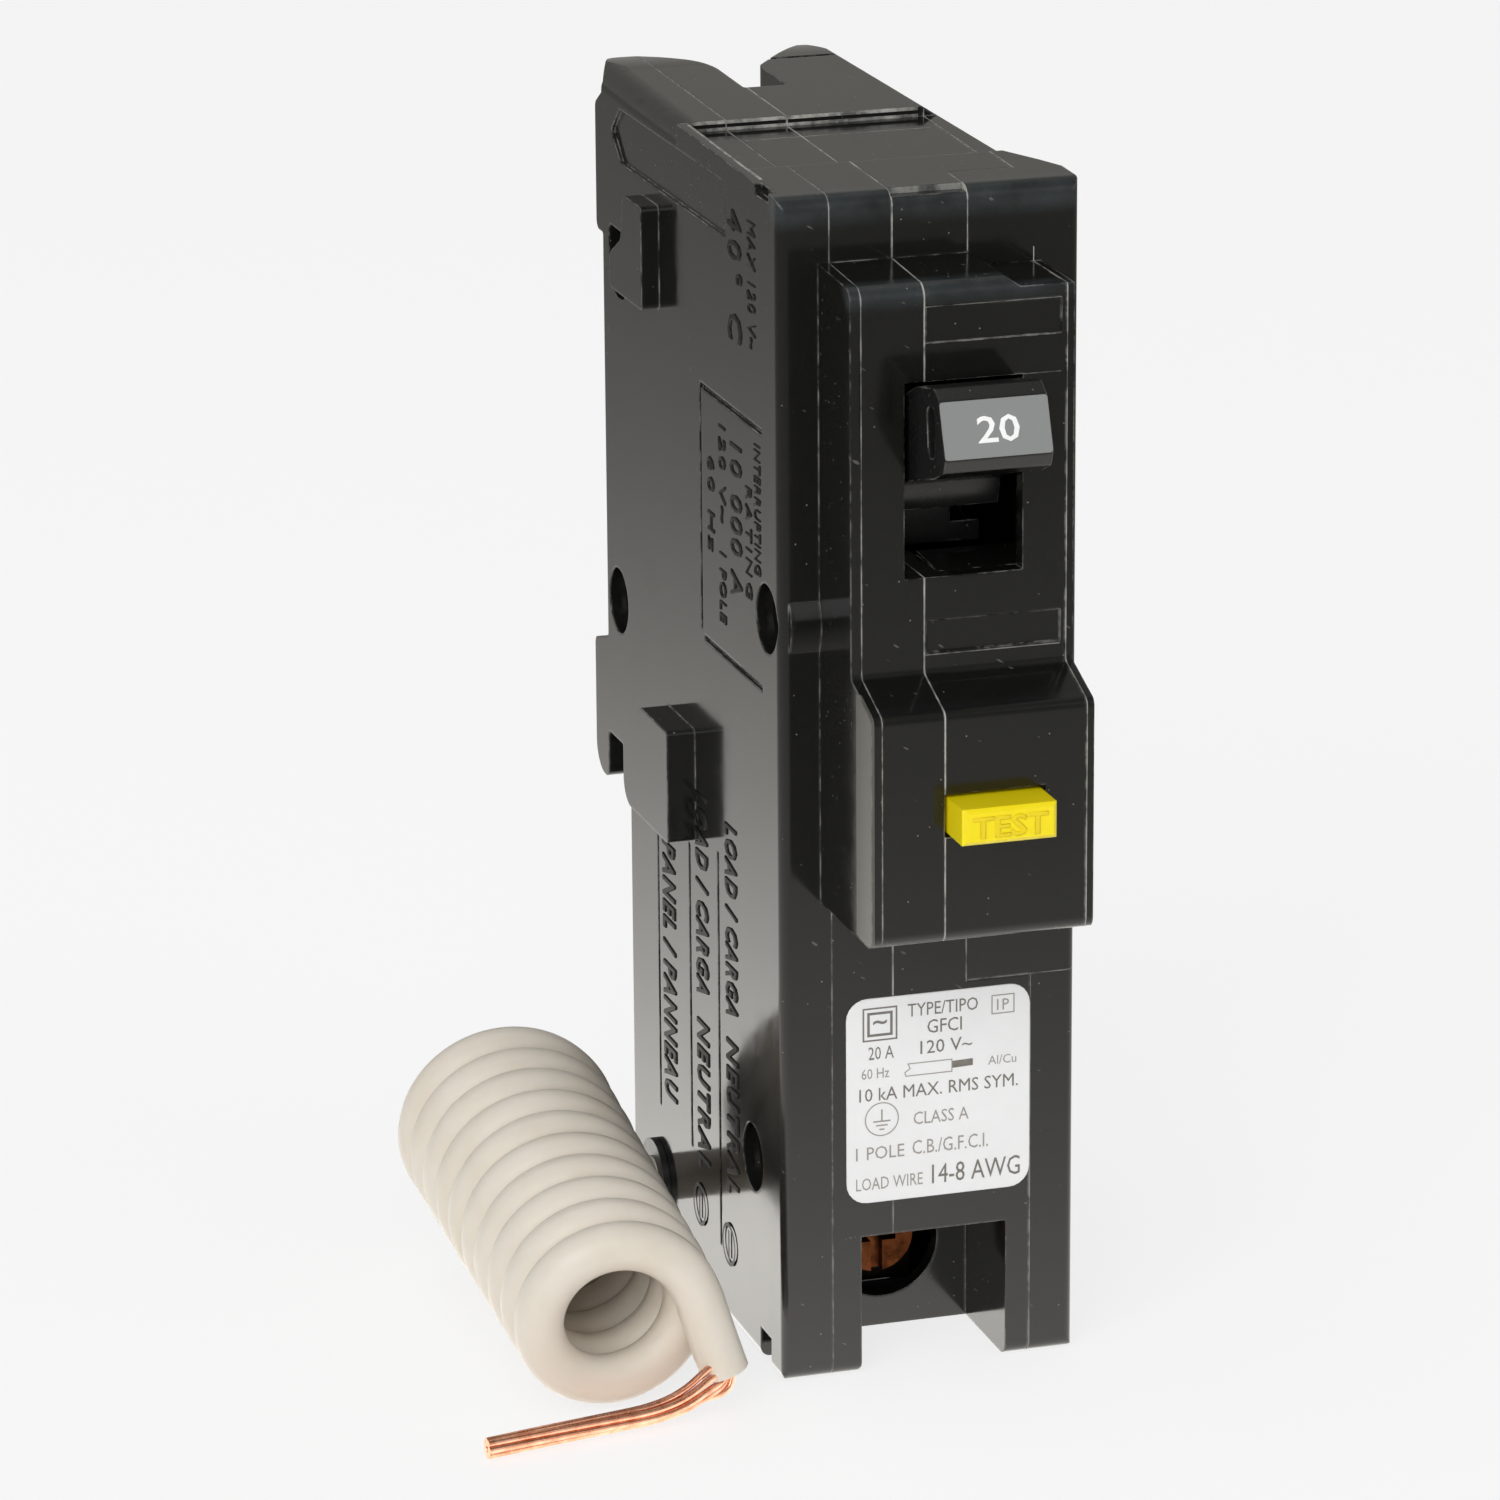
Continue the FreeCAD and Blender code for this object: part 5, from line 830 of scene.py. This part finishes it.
def coil_axes():
    """Directions along the coil, across it and up."""
    axis = (REAR_CENTRE - FRONT_CENTRE).normalized()
    side = axis.cross(Vector((0, 0, 1))).normalized()
    return axis, side, side.cross(axis)


def coil_point(along, mean, degrees):
    """Point on the coil, by its place along the axis, its mean radius and its angle."""
    axis, side, up = coil_axes()
    angle = math.radians(degrees)
    return FRONT_CENTRE + axis * along * MM + (side * math.cos(angle) + up * math.sin(angle)) * mean * MM


def tail_point(distance):
    """Point on the straight tail, measured from where it leaves the coil."""
    axis, side, up = coil_axes()
    angle = math.radians(TAIL_ANGLE)
    along = (side * math.sin(angle) - up * math.cos(angle) - axis * TAIL_LEAN).normalized()
    return coil_point(-COIL_PITCH * TAIL_LEAD, MEAN_FRONT, TAIL_ANGLE) + along * distance * MM


def nurbs(name, points, radius=0.0):
    """Smooth open curve with the given control points."""
    data = bpy.data.curves.new(name, "CURVE")
    data.dimensions = "3D"
    data.resolution_u = 6
    data.bevel_depth = radius
    data.bevel_resolution = 6
    data.use_fill_caps = True
    spline = data.splines.new("NURBS")
    spline.points.add(len(points) - 1)
    for target, point in zip(spline.points, points):
        target.co = (*point, 1.0)
    spline.order_u = 3
    spline.use_endpoint_u = True
    obj = bpy.data.objects.new(name, data)
    bpy.context.collection.objects.link(obj)
    return obj


def line_of(points):
    """Points along the smooth curve of a route."""
    route = nurbs("route", points)
    mesh = bpy.data.meshes.new_from_object(route)
    line = [v.co.copy() for v in mesh.vertices]
    bpy.data.objects.remove(route)
    bpy.data.meshes.remove(mesh)
    return line


class PIGTAIL_OT_build(bpy.types.Operator):
    """Wound pigtail wire and its bare strands"""
    bl_idname = "breaker.pigtail"
    bl_label = "Pigtail"

    def execute(self, context):
        sizes = context.scene.breaker_pigtail
        wire = self.wire(sizes)
        strands = self.strands(context, sizes)
        vinyl = extruded_vinyl("extruded_cream_vinyl", list(context.scene.breaker_colours.vinyl))
        finish_piece(wire, vinyl, "case")
        bright = worked_metal("drawn_bright_copper", colour("#f6b99b"), 0.27, dark=colour("#cf7c58"))
        finish_piece(strands, bright, "case")
        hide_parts("pigtail_lead", "pigtail_coil", "pigtail_tail")
        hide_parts("pigtail_copper")
        return {"FINISHED"}

    def wire(self, sizes):
        """Insulated wire: out of the left side, along the turns and down the straight tail."""
        count = sizes.turn_points
        start = coil_point(COIL_LENGTH + COIL_PITCH / 2, MEAN_REAR, -90)
        self.exit = Vector((0, (start.y - SHOULDER) / MM, (start.z - UNDERSIDE) / MM))
        points = [Vector((LEFT, start.y, start.z)), start + Vector((NEAR_CORNER * MM, 0, 0))]
        # From the rear underside, clockwise seen from the front, to the tail at the front right.
        whole = 10 * 360 - 90 - TAIL_ANGLE
        steps = int(whole / 360 * count)
        # The control points stand outside the wire, so that the wire itself keeps its mean radius.
        swell = 1 / (0.75 + 0.25 * math.cos(2 * math.pi / count))
        for i in range(steps + 1):
            share = i / steps
            along = (COIL_LENGTH + COIL_PITCH / 2) * (1 - share) - COIL_PITCH * TAIL_LEAD * share
            mean = MEAN_REAR + (MEAN_FRONT - MEAN_REAR) * share
            points.append(coil_point(along, mean * swell, -90 - whole * share))
        points += [tail_point(NEAR_CORNER), tail_point(TAIL_LENGTH)]
        line = line_of(points)
        self.length = sum((b - a).length for a, b in zip(line, line[1:]))
        return nurbs("pigtail_wire", points, sizes.wire / 2)

    def strands(self, context, sizes):
        """Bare strands, spread flat where they fold over the cut and drawn together at their ends."""
        route = [tail_point(TAIL_LENGTH - COPPER_CORE), tail_point(TAIL_LENGTH + COPPER_DROP),
                 *[at(*p) for p in COPPER_POINTS]]
        line = line_of(route)
        data = bpy.data.curves.new("pigtail_strands", "CURVE")
        data.dimensions = "3D"
        data.resolution_u = 4
        data.bevel_depth = sizes.strand / 2
        data.bevel_resolution = 3
        data.use_fill_caps = True
        samples = list(range(0, len(line) - 1, 3)) + [len(line) - 1]
        for k in range(sizes.strands):
            spline = data.splines.new("NURBS")
            spline.points.add(len(samples) - 1)
            row = k / (sizes.strands - 1)
            for i, index in enumerate(samples):
                share = i / (len(samples) - 1)
                # Side by side across the cut, fanned upwards past the fold, in a round bundle at the end.
                beside = 0.9 * (1 - 2 * row) * math.exp(-(share / 0.2) ** 2)
                fan = 3.2 * row * math.exp(-((share - 0.3) / 0.2) ** 2)
                turn = 2 * math.pi * k / sizes.strands + 1.2 * share
                close = 0.6 * min(1.0, share * 3)
                offset = Vector((beside, close * math.sin(turn), fan + close * math.cos(turn)))
                spot = line[index] + offset * MM
                spot.z = max(spot.z, UNDERSIDE + sizes.strand * 0.55)
                spline.points[i].co = (*spot, 1.0)
            spline.order_u = 3
            spline.use_endpoint_u = True
        obj = bpy.data.objects.new("pigtail_strands", data)
        context.collection.objects.link(obj)
        return obj


# ------------------------------------------------------------------ panel and run
OPERATORS = (STAGE_OT_build, PIGTAIL_OT_build, CASE_OT_build, LABEL_OT_build, HANDLE_OT_build,
             BUTTON_OT_build, INSIDE_OT_build)


class BREAKER_PT_panel(bpy.types.Panel):
    bl_label = "Ground-fault breaker"
    bl_space_type = "VIEW_3D"
    bl_region_type = "UI"
    bl_category = "Breaker"

    def draw(self, context):
        for operator in OPERATORS:
            self.layout.operator(operator.bl_idname)
        for group in GROUPS:
            box = self.layout.box()
            settings = getattr(context.scene, group)
            for name in settings.__annotations__:
                box.prop(settings, name)


GROUPS = {"breaker_studio": StudioSizes, "breaker_pigtail": PigtailSizes, "breaker_colours": FinishColours,
          "breaker_lettering": Lettering}


def register():
    for cls in (*GROUPS.values(), *OPERATORS, BREAKER_PT_panel):
        bpy.utils.register_class(cls)
    for name, group in GROUPS.items():
        setattr(bpy.types.Scene, name, PointerProperty(type=group))


def unregister():
    for name in GROUPS:
        delattr(bpy.types.Scene, name)
    for cls in (BREAKER_PT_panel, *reversed(OPERATORS), *GROUPS.values()):
        bpy.utils.unregister_class(cls)


def main():
    register()
    for operator in OPERATORS:
        section, action = operator.bl_idname.split(".")
        getattr(getattr(bpy.ops, section), action)()


if __name__ == "__main__":
    main()
